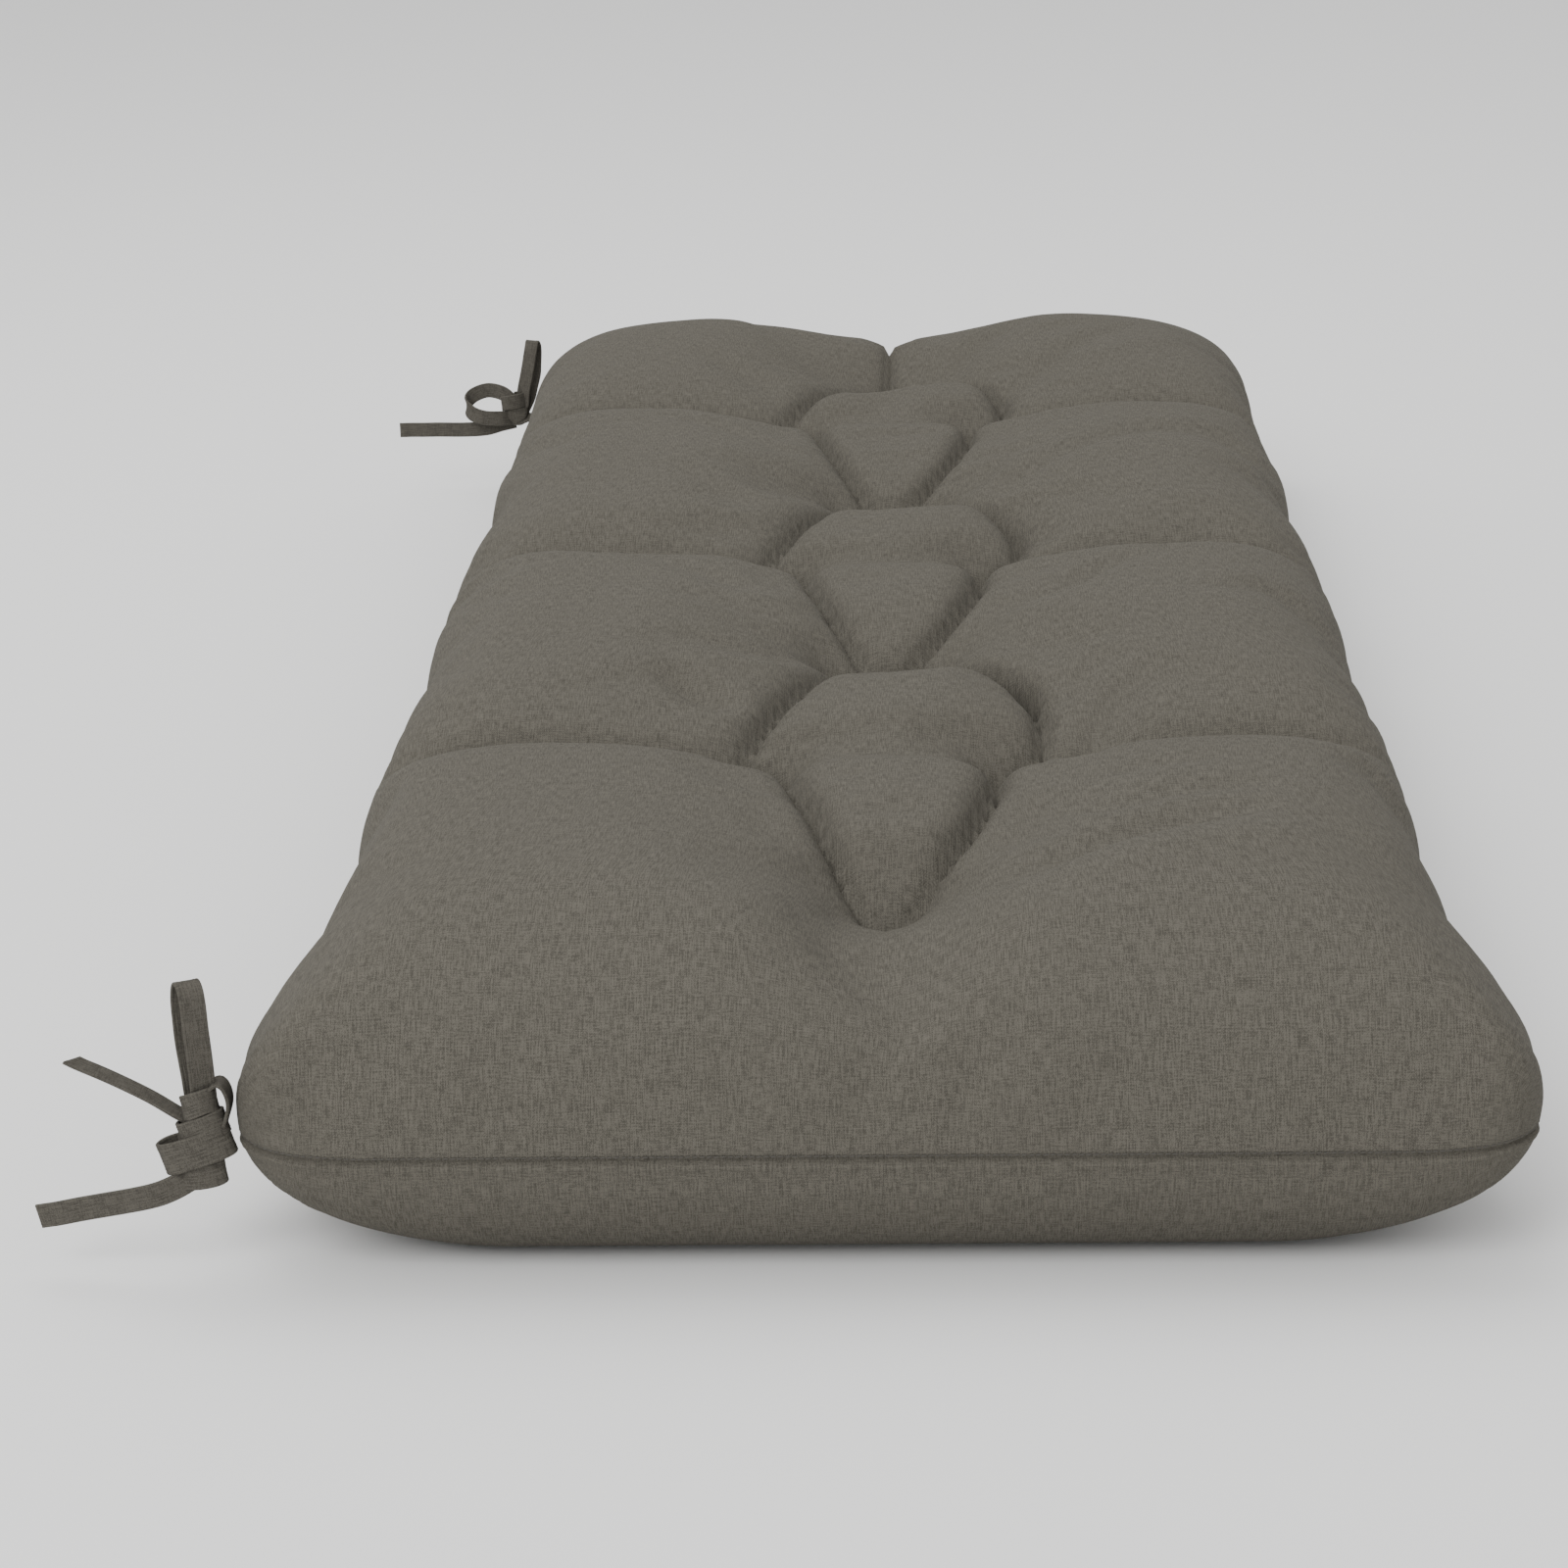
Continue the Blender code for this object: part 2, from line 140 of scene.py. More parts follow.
class ShaderTree:
    """The node tree of one material."""

    def __init__(self, name: str) -> None:
        """Starts a material with nothing but its surface and output.

        Args:
            name: The material's name.
        """
        self.material = bpy.data.materials.new(name)
        self.material.use_nodes = True
        self.nodes = self.material.node_tree.nodes
        self.links = self.material.node_tree.links
        self.surface = self.nodes["Principled BSDF"]

    def node(
        self,
        kind: str,
        settings: dict[str, object] | None = None,
        sockets: dict[str | int, object] | None = None,
        output: str | int = 0,
    ) -> Wire:
        """Adds one node.

        Args:
            kind: The node's type.
            settings: What is set on the node itself, before its sockets.
            sockets: A value or a wire for each input, by its identifier or place.
            output: Which output to return, by its identifier or place.

        Returns:
            The output, as a wire.
        """
        made = self.nodes.new(kind)
        for name, value in (settings or {}).items():
            setattr(made, name, value)
        for key, value in (sockets or {}).items():
            self.plug(self.find(made.inputs, key), value)
        return Wire(self, self.find(made.outputs, output))

    def plug(self, socket: bpy.types.NodeSocket, value: object) -> None:
        """Links a wire to an input, or sets the input to a plain value.

        Args:
            socket: The input.
            value: The wire or the plain value.
        """
        if isinstance(value, Wire):
            self.links.new(value.socket, socket)
        else:
            socket.default_value = value

    def finish(self, values: dict[str, object]) -> bpy.types.Material:
        """Sets the inputs of the surface shader.

        Args:
            values: A value or a wire for each named input.

        Returns:
            The finished material.
        """
        for name, value in values.items():
            self.plug(self.surface.inputs[name], value)
        return self.material

    def mixed(self, share: object, first: object, second: object) -> Wire:
        """Mixes two colours.

        Args:
            share: How much of the second colour there is, from 0 to 1.
            first: The colour at 0.
            second: The colour at 1.

        Returns:
            The mixed colour.
        """
        return self.node(
            "ShaderNodeMix",
            {"data_type": "RGBA"},
            {
                "Factor_Float": share,
                "A_Color": rgba(first),
                "B_Color": rgba(second),
            },
            "Result_Color",
        )

    def noise(self, place: Wire, scale: Triple, detail: float) -> Wire:
        """Adds smooth noise.

        Args:
            place: The place that the noise depends on.
            scale: How fast it changes along each axis, per metre.
            detail: How many finer layers it has.

        Returns:
            The noise, from 0 to 1.
        """
        stretched = self.node(
            "ShaderNodeVectorMath", {"operation": "MULTIPLY"}, {0: place, 1: scale}
        )
        return self.node(
            "ShaderNodeTexNoise",
            {"noise_dimensions": "2D"},
            {
                "Vector": stretched,
                "Scale": 1.0,
                "Detail": detail,
                "Roughness": NOISE_ROUGHNESS,
            },
        )

    def risen(self, value: Wire, limits: tuple[float, float]) -> Wire:
        """Spreads a value between two limits.

        Args:
            value: The value to spread.
            limits: Where it starts and ends its rise.

        Returns:
            0 below the limits, 1 above them, and an eased rise between.
        """
        return self.node(
            "ShaderNodeMapRange",
            {"interpolation_type": "SMOOTHSTEP"},
            {"Value": value, "From Min": limits[0], "From Max": limits[1]},
        )

    @staticmethod
    def find(
        sockets: Iterable[bpy.types.NodeSocket], key: str | int
    ) -> bpy.types.NodeSocket:
        """Finds a socket by its place, its identifier or its name.

        Args:
            sockets: The inputs or outputs of a node.
            key: The place, identifier or name.

        Returns:
            The socket.
        """
        if isinstance(key, int):
            return list(sockets)[key]
        for socket in sockets:
            if key in (socket.identifier, socket.name):
                return socket
        raise KeyError(key)


def rgba(colour: object) -> object:
    """Gives a colour full opacity, and leaves a wire as it is.

    Args:
        colour: A colour of three or four parts, or a wire.

    Returns:
        The colour with four parts, or the same wire.
    """
    if isinstance(colour, Wire) or len(colour) == 4:
        return colour
    return (*colour, 1.0)


@dataclass(frozen=True)
class Weave:
    """A plain linen-look weave of slubby, mixed yarn.

    Yarn is the thickness of a yarn, slub the length of a thick place in it,
    and relief how far it stands out. A streak is how often the tone changes
    along a slub and across a yarn, and a share is how much of the tone or of
    the height it makes.
    """

    name: str
    dark: Colour
    light: Colour
    yarn: float = 0.00042
    slub: float = 0.0050
    relief: float = 0.00020
    roughness: float = 0.94
    specular: float = 0.10
    bump_strength: float = 0.5
    streak_detail: float = 3.0
    grain_detail: float = 1.0
    mottle_detail: float = 2.0
    fleck_detail: float = 0.0
    warp_streak: tuple[float, float] = (0.8, 0.8)
    weft_streak: tuple[float, float] = (0.9, 0.8)
    fleck_streak: tuple[float, float] = (0.7, 1.3)
    fleck_limits: tuple[float, float] = (0.56, 0.74)
    tone_limits: tuple[float, float] = (0.39, 0.61)
    grain_rate: float = 0.8
    mottle_rate: float = 260.0
    warp_share: float = 0.34
    weft_share: float = 0.28
    grain_share: float = 0.31
    mottle_share: float = 0.07
    crossing_share: float = 0.03
    fleck_share: float = 0.08
    crossing_height: float = 0.5
    tone_height: float = 0.45

    def streaked(self, streak: tuple[float, float]) -> tuple[float, float]:
        """Returns how fast a streak changes along and across its yarn."""
        return streak[0] * (1 / self.slub), streak[1] * (1 / self.yarn)

    def tone(self, tree: ShaderTree, flat: Wire, crossing: Wire) -> Wire:
        """Mixes the tones of the yarns.

        Args:
            tree: The tree of the material.
            flat: The place on the cloth's flat map.
            crossing: The over and under of the yarns, from -1 to 1.

        Returns:
            The tone before it is spread from dark to light.
        """
        along, across = self.streaked(self.warp_streak)
        warp = tree.noise(flat, (along, across, 1.0), self.streak_detail)
        along, across = self.streaked(self.weft_streak)
        weft = tree.noise(flat, (across, along, 1.0), self.streak_detail)
        fine = (1 / self.yarn) * self.grain_rate
        grain = tree.noise(flat, (fine, fine, 1.0), self.grain_detail)
        broad = (self.mottle_rate, self.mottle_rate, 1.0)
        mottle = tree.noise(flat, broad, self.mottle_detail)
        along, across = self.streaked(self.fleck_streak)
        flecks = tree.noise(flat, (along, across, 1.0), self.fleck_detail)
        tone = (
            self.warp_share * warp
            + self.weft_share * weft
            + self.grain_share * grain
            + self.mottle_share * mottle
        )
        fleck = tree.risen(flecks, self.fleck_limits)
        return tone + self.crossing_share * crossing + self.fleck_share * fleck

    def material(self) -> bpy.types.Material:
        """Builds the material, which lies on the cloth's own flat map.

        Returns:
            The material.
        """
        tree = ShaderTree(self.name)
        flat = tree.node("ShaderNodeUVMap", {"uv_map": FLAT_MAP})
        place = tree.node("ShaderNodeSeparateXYZ", {}, {"Vector": flat}, "X")
        turns = math.pi / self.yarn
        crossing = (place * turns).sine() * (place.beside("Y") * turns).sine()
        tone = self.tone(tree, flat, crossing)
        normal = tree.node(
            "ShaderNodeBump",
            {},
            {
                "Strength": self.bump_strength,
                "Distance": self.relief,
                "Height": self.crossing_height * crossing + self.tone_height * tone,
            },
            "Normal",
        )
        spread = tree.risen(tone, self.tone_limits)
        return tree.finish(
            {
                "Base Color": tree.mixed(spread, self.dark, self.light),
                "Roughness": self.roughness,
                "Specular IOR Level": self.specular,
                "Normal": normal,
            }
        )


@dataclass(frozen=True)
class Thread:
    """Twisted sewing thread."""

    name: str
    colour: Colour
    roughness: float = 0.75
    ply_rate: float = 2400.0
    paler: float = 1.35

    def material(self) -> bpy.types.Material:
        """Builds the material.

        Returns:
            The material.
        """
        tree = ShaderTree(self.name)
        place = tree.node("ShaderNodeTexCoord", {}, {}, "Object")
        plies = tree.noise(place, (self.ply_rate,) * 3, 1.0)
        pale = tuple(self.paler * part for part in self.colour)
        colour = tree.mixed(plies, self.colour, pale)
        return tree.finish({"Base Color": colour, "Roughness": self.roughness})


@dataclass(frozen=True)
class Backdrop:
    """The plain pale floor."""

    name: str = "studio_floor"
    colour: Colour = (0.86, 0.86, 0.855)
    roughness: float = 0.9

    def material(self) -> bpy.types.Material:
        """Builds the material.

        Returns:
            The material.
        """
        tree = ShaderTree(self.name)
        colour = rgba(self.colour)
        return tree.finish({"Base Color": colour, "Roughness": self.roughness})


@dataclass(frozen=True)
class Pull:
    """How hard a sewn line pulls the cloth down.

    The depths at its first end, middle and last end are shares of the crown,
    and its reach is how far it pulls the cloth down to each side.
    """

    first: float
    middle: float
    last: float
    reach: float
    sharp: bool = True
    bend: float = 1.6

    def at(self, distance: np.ndarray, share: np.ndarray) -> np.ndarray:
        """Returns the share of the crown that is taken.

        Args:
            distance: How far each place is from the line.
            share: How much of the line comes before each place.

        Returns:
            The share of the crown for each place.
        """
        from_middle = 2 * share - 1
        end_depth = np.where(from_middle < 0, self.first, self.last)
        bend = np.abs(from_middle) ** self.bend
        depth = self.middle + (end_depth - self.middle) * bend
        away = np.clip(distance / self.reach, 0.0, 1.0)
        if self.sharp:
            return depth * (1 - np.sqrt(1 - (1 - away) ** 2))
        return depth * (0.5 + 0.5 * np.cos(math.pi * away))


@dataclass(frozen=True)
class Hollow:
    """A line along which the filling is sewn down."""

    line: np.ndarray
    pull: Pull

    def taken(self, points: np.ndarray) -> np.ndarray:
        """Returns the share of the crown that this hollow takes at each point."""
        return self.pull.at(*nearest_on_line(points, self.line))


@dataclass(frozen=True)
class Ripple:
    """An uneven wave, with how fast it runs and how its pace drifts."""

    rate: float
    drift: float
    drift_rate: float
    start: float = 0.0

    def at(self, place: np.ndarray) -> np.ndarray:
        """Returns the wave, from -1 to 1, at each place along a line."""
        drift = self.drift * np.sin(self.drift_rate * place + self.start)
        return np.sin(self.rate * place + drift)


@dataclass(frozen=True)
class Gathers:
    """Small puckers beside the seam, this far from it and this far across."""

    wave: Ripple
    share: float
    place: float
    reach: float

    def depth(self, along: np.ndarray, from_seam: np.ndarray) -> np.ndarray:
        """Returns how deep the puckers are, as a share, from -1 to 1."""
        near = np.exp(-(((from_seam - self.place) / self.reach) ** 2))
        return self.share * self.wave.at(along) * near


@dataclass(frozen=True)
class Fold:
    """A loose wrinkle: a soft groove, or a ridge where its height is above 0."""

    start: tuple[float, float]
    end: tuple[float, float]
    bow: float
    height: float
    width: float
    stretches: int = 12
    fading: float = 0.7

    def lift(self, points: np.ndarray) -> np.ndarray:
        """Raises or sinks the cloth beside the fold.

        Args:
            points: The points in plan, one row each.

        Returns:
            How far this fold lifts the cloth at each.
        """
        first, last = np.array(self.start), np.array(self.end)
        share = np.linspace(0.0, 1.0, self.stretches + 1)[:, None]
        side = np.array([first[1] - last[1], last[0] - first[0]])
        side = side / np.hypot(*side)
        line = first + (last - first) * share
        line = line + 4 * self.bow * share * (1 - share) * side
        distance, along = nearest_on_line(points, line)
        fade = np.sin(math.pi * np.clip(along, 0.0, 1.0)) ** self.fading
        return self.height * fade * np.exp(-((distance / self.width) ** 2))


FOLDS = (
    Fold((-0.500, -0.036), (-0.436, -0.160), 0.009, -0.0078, 0.0115),
    Fold((-0.514, -0.066), (-0.468, -0.175), 0.007, 0.0036, 0.0140),
    Fold((-0.432, -0.083), (-0.408, -0.165), 0.006, -0.0038, 0.0100),
    Fold((-0.392, -0.080), (-0.372, -0.150), 0.004, -0.0022, 0.0080),
    Fold((-0.345, -0.084), (-0.225, -0.128), 0.010, -0.0062, 0.0120),
    Fold((-0.120, -0.082), (-0.055, -0.125), 0.004, -0.0036, 0.0090),
    Fold((-0.260, -0.075), (-0.205, -0.110), 0.004, -0.0024, 0.0090),
    Fold((0.095, -0.066), (0.020, -0.084), -0.004, -0.0060, 0.0130),
    Fold((0.100, -0.058), (0.205, -0.160), 0.008, -0.0040, 0.0110),
    Fold((0.130, -0.045), (0.190, -0.085), 0.004, -0.0026, 0.0085),
    Fold((0.320, -0.053), (0.475, -0.160), 0.008, -0.0044, 0.0110),
    Fold((0.350, -0.100), (0.430, -0.170), 0.006, 0.0020, 0.0130),
    Fold((0.400, -0.030), (0.520, -0.090), 0.006, -0.0030, 0.0120),
    Fold((-0.470, 0.050), (-0.400, 0.125), -0.008, -0.0020, 0.0150),
    Fold((-0.262, 0.066), (-0.222, 0.100), 0.006, -0.0052, 0.0100),
    Fold((-0.270, 0.075), (-0.190, 0.120), -0.006, -0.0026, 0.0120),
    Fold((-0.110, 0.070), (-0.050, 0.120), -0.005, -0.0026, 0.0110),
    Fold((-0.035, 0.080), (-0.030, 0.180), 0.004, -0.0020, 0.0080),
    Fold((0.060, 0.078), (0.130, 0.125), -0.006, -0.0026, 0.0110),
    Fold((0.180, 0.060), (0.245, 0.110), -0.005, -0.0026, 0.0110),
    Fold((0.330, 0.066), (0.420, 0.120), -0.006, -0.0028, 0.0120),
    Fold((0.480, 0.040), (0.540, 0.110), -0.006, -0.0026, 0.0130),
)


@dataclass(frozen=True)
class Run:
    """One run of strap: which way its width points, and the route of its middle.

    Both are (out, back, up), and the route's places are in millimetres from
    the corner of the seam that the tie hangs from. Spread is its width as a
    share of the strap's, and slant is how far, in metres, one side of its last
    end is cut short, or left long where it is below 0.
    """

    width_points: Triple
    route: tuple[Triple, ...]
    spread: float = 1.0
    slant: float = 0.0


@dataclass(frozen=True)
class Lump:
    """The tight middle of a knot, in millimetres from the corner of the seam."""

    middle: Triple
    half_size: Triple


NEAR_LUMP = Lump(middle=(14, 3.4, -3), half_size=(8.5, 3.4, 10))
NEAR_LOOP = Run(
    (0.90, -0.43, 0.0),
    (
        (12, 2, 4), (11.6, 0, 17), (11.8, -1, 30), (12.4, -1.5, 42), (13.0, -0.6, 51),
        (14.2, 1.8, 56.6), (16.2, 5.6, 58), (17.8, 8.8, 54), (18.2, 9.4, 44),
        (17.4, 8.6, 32), (15.8, 6.6, 20), (14, 4, 4),
    ),
)
NEAR_WRAP = Run(
    (0.12, 0.0, 0.99),
    (
        (12, 8.5, 10), (8.5, 5, 13), (8.2, 0, 15.5), (12, -3.2, 15.5),
        (17, -2.5, 13.5), (19.2, 2, 11), (17, 7, 9), (12, 6, 6),
    ),
)
NEAR_ROOT = Run(
    (0.0, 1.0, 0.0),
    ((10, 2, 19), (7.4, 2.6, 21.2), (4.6, 3, 19.5), (3.4, 3.5, 12), (6, 3.5, 2)),
)
NEAR_BAND = Run(
    (0.29, 0.0, 0.957),
    (
        (9, 5, 0), (4.4, 4, 0.4), (3.6, 0, 0.4), (8, -2.8, -1), (16, -3.6, -3.5),
        (25, -2.6, -6.5), (28.2, 2, -8), (25, 6, -7), (14, 7, -4),
    ),
    spread=1.32,
)
NEAR_FOLD = Run(
    (0.10, 0.0, 0.995),
    (
        (12, 5, -10.5), (8, 4, -11), (6.4, 0.5, -11.6), (10, -1.8, -12.6),
        (17, -2.2, -13.4), (22.6, 0.2, -13.6), (23.4, 4, -12.5), (14, 6, -9.5),
    ),
    spread=1.12,
)
NEAR_COLLAR = Run(
    (0.24, 0.0, 0.97),
    (
        (10, 7, 4.6), (5.8, 5, 6), (5.2, 0.5, 7), (9, -2.7, 6.4), (15, -3.1, 4.4),
        (19.6, -1.6, 2.2), (20.6, 3, 1.6), (14, 6.4, 2.4),
    ),
)
NEAR_UPPER_TAIL = Run(
    (0.0, 0.985, 0.17),
    ((14, 3, 3), (21, 3.4, 8.5), (31, 3.8, 14.6), (45, 3.6, 22.6), (61, 3, 31)),
    spread=0.80,
    slant=-0.006,
)
NEAR_LOWER_TAIL = Run(
    (0.22, 0.0, 0.976),
    (
        (12, 3, -10), (18, -0.6, -14.5), (25, -2.4, -18), (34, -2.6, -21),
        (52, -1, -25.2), (74.5, 1.2, -30.2),
    ),
)
NEAR_RUNS = (
    NEAR_LOOP, NEAR_WRAP, NEAR_ROOT, NEAR_COLLAR, NEAR_BAND, NEAR_FOLD,
    NEAR_UPPER_TAIL, NEAR_LOWER_TAIL,
)

FAR_LUMP = Lump(middle=(13, 0, 2), half_size=(7.5, 4.2, 8.5))
FAR_UPRIGHT_LOOP = Run(
    (0.90, 0.42, 0.0),
    (
        (9, 0, 6), (7, -1.5, 18), (4, -2.5, 32), (1.6, -2, 44), (0.6, 0.2, 48.6),
        (-0.6, 2.8, 44), (0.5, 5, 28), (4.5, 4.5, 12), (9, 3, 2),
    ),
)
FAR_ROUND_LOOP = Run(
    (0.05, 0.25, 0.967),
    (
        (14, 0, 9), (22, 5.5, 13.5), (32, 8.5, 15), (41.5, 6, 12), (44.6, 0, 7.5),
        (41, -5.5, 3), (33, -8, 0.5), (23, -6, -0.5), (14, -1, -1),
    ),
)
FAR_TAIL = Run(
    (0.0, 0.05, 0.999),
    (
        (14, 2, -4), (22, 0, -5.4), (32, -3, -7.4), (46, -4, -8), (66, -3, -8),
        (89, -1, -8.4),
    ),
)
FAR_WRAP = Run(
    (0.10, 0.0, 0.995),
    (
        (14, 5, 10), (7.5, 4.6, 10.6), (6.2, 0, 10.8), (11, -4.2, 10.4),
        (18, -4.6, 9.4), (21.6, -1, 8), (20, 4, 7), (14, 3, 6),
    ),
)
FAR_ROOT = Run(
    (0.45, 0.85, 0.27), ((12, 0, -3), (7, -0.6, -1.4), (4.2, 0, 0.2), (3.4, 1, 0.6))
)
FAR_RUNS = (FAR_UPRIGHT_LOOP, FAR_ROUND_LOOP, FAR_TAIL, FAR_WRAP, FAR_ROOT)


def travelled_by(steps: np.ndarray) -> np.ndarray:
    """Returns how far one has come before the first step and after each."""
    return np.concatenate([[0.0], np.cumsum(steps)])


def nearest_on_line(
    points: np.ndarray, line: np.ndarray
) -> tuple[np.ndarray, np.ndarray]:
    """Finds the nearest place on a line of straight stretches.

    Args:
        points: The points, one row each.
        line: The corners of the line, one row each.

    Returns:
        The distance of each point, and the share of the line before its
        nearest place.
    """
    distance = np.full(len(points), np.inf)
    share = np.zeros(len(points))
    steps = np.diff(line, axis=0)
    lengths = np.hypot(*steps.T)
    travelled = travelled_by(lengths) / lengths.sum()
    for number, (step, length) in enumerate(zip(steps, lengths)):
        gaps = points - line[number]
        along = np.clip(gaps @ step / length**2, 0.0, 1.0)
        apart = np.hypot(*(gaps - along[:, None] * step).T)
        closer = apart < distance
        here = travelled[number] + along * (travelled[number + 1] - travelled[number])
        distance = np.where(closer, apart, distance)
        share = np.where(closer, here, share)
    return distance, share


def eased(value: np.ndarray, start: float, end: float) -> np.ndarray:
    """Returns 0 at the start and 1 at the end, level at both."""
    share = np.clip((value - start) / (end - start), 0.0, 1.0)
    return share**2 * (3 - 2 * share)


def rise_from_edge(
    inset: np.ndarray, width: float, fullness: float = 2.0
) -> np.ndarray:
    """Returns how far cloth has risen, from 0 at the seam to 1, this far in."""
    left = 1 - np.clip(inset / width, 0.0, 1.0)
    return (1 - left**fullness) ** (1 / fullness)


@dataclass
class Tufting:
    """The places where the cushion is sewn through, and the lines between.

    Single tufts stand down the middle, with pairs about half way between them.
    The sewn lines round four of them outline a puff with a narrow near half
    and a bulb-shaped far half.
    """

    length: float
    half_width: float
    pitch: float = 0.309
    row_steps: tuple[float, ...] = (-1.5, -0.5, 0.45, 1.4)
    pair_steps: tuple[float, ...] = (-1.0, 0.0, 1.0)
    spread: float = 0.046
    bulb: float = 0.064
    bulb_start: float = 0.10
    lean: float = -0.010
    near_lean: float = 0.5
    near_curve: tuple[float, float] = (1.8, 0.66)
    far_curve: tuple[float, float] = (1.7, 0.62)
    stretches: int = 40
    bar: float = 0.026
    valley_start: float = 0.006
    pit_setback: float = 0.010
    pit_span: tuple[float, float] = (0.042, 0.052)
    pit_middle_span: tuple[float, float] = (0.049, 0.055)
    slit_span: tuple[int, int] = (18, 39)
    near_half_pull: Pull = Pull(0.46, 0.44, 0.58, 0.033)
    far_half_pull: Pull = Pull(0.46, 0.44, 0.58, 0.039)
    puff_wide_pull: Pull = Pull(0.16, 0.15, 0.20, 0.105, sharp=False)
    bar_pull: Pull = Pull(0.62, 0.62, 0.62, 0.072)
    valley_pull: Pull = Pull(0.40, 0.36, 0.20, 0.085)
    valley_wide_pull: Pull = Pull(0.10, 0.06, 0.04, 0.160, sharp=False)
    pit_pull: Pull = Pull(0.66, 0.66, 0.66, 0.030)
    pit_middle_pull: Pull = Pull(0.92, 0.92, 0.92, 0.023)
    waist_pull: Pull = Pull(0.30, 0.15, 0.30, 0.050, sharp=False)
    slit_pull: Pull = Pull(0.70, 0.92, 0.86, 0.017)
    row_pull: Pull = Pull(0.04, 0.15, 0.25, 0.085, sharp=False)
    near_end_pull: Pull = Pull(0.16, 0.10, 0.00, 0.040)
    near_end_wide_pull: Pull = Pull(0.47, 0.29, 0.03, 0.066, sharp=False)
    far_end_pull: Pull = Pull(0.50, 0.30, 0.20, 0.030)
    far_end_wide_pull: Pull = Pull(0.26, 0.24, 0.20, 0.120, sharp=False)

    @property
    def middle_row(self) -> list[float]:
        """The places along the cushion of the single tufts."""
        return [step * self.pitch for step in self.row_steps]

    @property
    def pairs(self) -> list[float]:
        """The places along the cushion of the paired tufts."""
        return [step * self.pitch for step in self.pair_steps]

    def puff_side(self, pair_x: float, middle_x: float, side: int) -> np.ndarray:
        """Draws the sewn line from a tuft of a pair to a tuft of the row.

        Args:
            pair_x: The place along the cushion of the pair.
            middle_x: The place along the cushion of the tuft of the row.
            side: 1 towards the edge with the ties, or -1.

        Returns:
            The corners of the line, one row each.
        """
        share = np.linspace(0.0, 1.0, self.stretches + 1)
        along = pair_x + share * (middle_x - pair_x)
        lean = self.lean * np.sin(math.pi * share)
        if middle_x < pair_x:
            power, root = self.near_curve
            across = self.spread * (1 - share**power) ** root
            lean = self.near_lean * lean
        else:
            power, root = self.far_curve
            past = np.clip((share - self.bulb_start) / (1 - self.bulb_start), 0, 1)
            swell = np.sin(math.pi / 2 * np.clip(share / self.bulb_start, 0, 1))
            across = self.spread + (self.bulb - self.spread) * swell
            across = across * (1 - past**power) ** root
        return np.stack([along, side * across + lean], axis=1)

    def puff_sides(self) -> Iterable[tuple[np.ndarray, bool]]:
        """Goes round the puffs, from the near end to the far end.

        Yields:
            Each sewn line, and whether it lies in a near half.
        """
        for middle_x in self.middle_row:
            for pair_x in self.pairs:
                if abs(middle_x - pair_x) < self.pitch:
                    for side in (-1, 1):
                        line = self.puff_side(pair_x, middle_x, side)
                        yield line, middle_x < pair_x

    def pair_hollows(self, pair_x: float) -> list[Hollow]:
        """Lists the hollows round a pair of tufts and out to the long sides.

        Args:
            pair_x: The place along the cushion of the pair.

        Returns:
            The valleys, the pits at the two tufts, and the waist between them.
        """
        found = []
        for side in (-1, 1):
            tuft = (pair_x + self.valley_start, side * self.bulb)
            valley = np.array([tuft, (pair_x, side * self.half_width)])
            found.append(Hollow(valley, self.valley_pull))
            found.append(Hollow(valley, self.valley_wide_pull))
            for span, pull in (
                (self.pit_span, self.pit_pull),
                (self.pit_middle_span, self.pit_middle_pull),
            ):
                pit = [(pair_x - self.pit_setback, side * place) for place in span]
                found.append(Hollow(np.array(pit), pull))
        waist = np.array([(pair_x, -self.spread), (pair_x, self.spread)])
        return [*found, Hollow(waist, self.waist_pull)]

    def hollows(self) -> list[Hollow]:
        """Lists every line along which the top is pulled down.

        Returns:
            The hollows of the puffs, the pairs, the row and both ends.
        """
        found = []
        for line, near in self.puff_sides():
            pull = self.near_half_pull if near else self.far_half_pull
            found += [Hollow(line, pull), Hollow(line, self.puff_wide_pull)]
        for middle_x in self.middle_row[1:-1]:
            bar = np.array([(middle_x, -self.bar), (middle_x, self.bar)])
            found.append(Hollow(bar, self.bar_pull))
        for pair_x in self.pairs:
            found += self.pair_hollows(pair_x)
        side = self.puff_side(self.pairs[0], self.middle_row[1], -1)
        row = np.array([(self.middle_row[0], 0.0), (self.middle_row[-1], 0.0)])
        near_end = np.array([row[0], (-self.length / 2, 0.0)])
        far_end = np.array([row[1], (self.length / 2, 0.0)])
        return found + [
            Hollow(side[slice(*self.slit_span)], self.slit_pull),
            Hollow(row, self.row_pull),
            Hollow(near_end, self.near_end_wide_pull),
            Hollow(near_end, self.near_end_pull),
            Hollow(far_end, self.far_end_pull),
            Hollow(far_end, self.far_end_wide_pull),
        ]

    def sewn_lines(self) -> list[np.ndarray]:
        """Lists the lines that are sewn right through.

        Returns:
            The sides of the puffs and the valleys between the side cells.
        """
        lines = [line for line, _ in self.puff_sides()]
        for pair_x in self.pairs:
            for side in (-1, 1):
                valley = [(pair_x, side * self.bulb), (pair_x, side * self.half_width)]
                lines.append(np.array(valley))
        return lines

    def tufts(self) -> list[tuple[float, float]]:
        """Returns the place of every tuft in plan."""
        row = [(x, 0.0) for x in self.middle_row]
        return row + [(x, side * self.spread) for x in self.pairs for side in (-1, 1)]


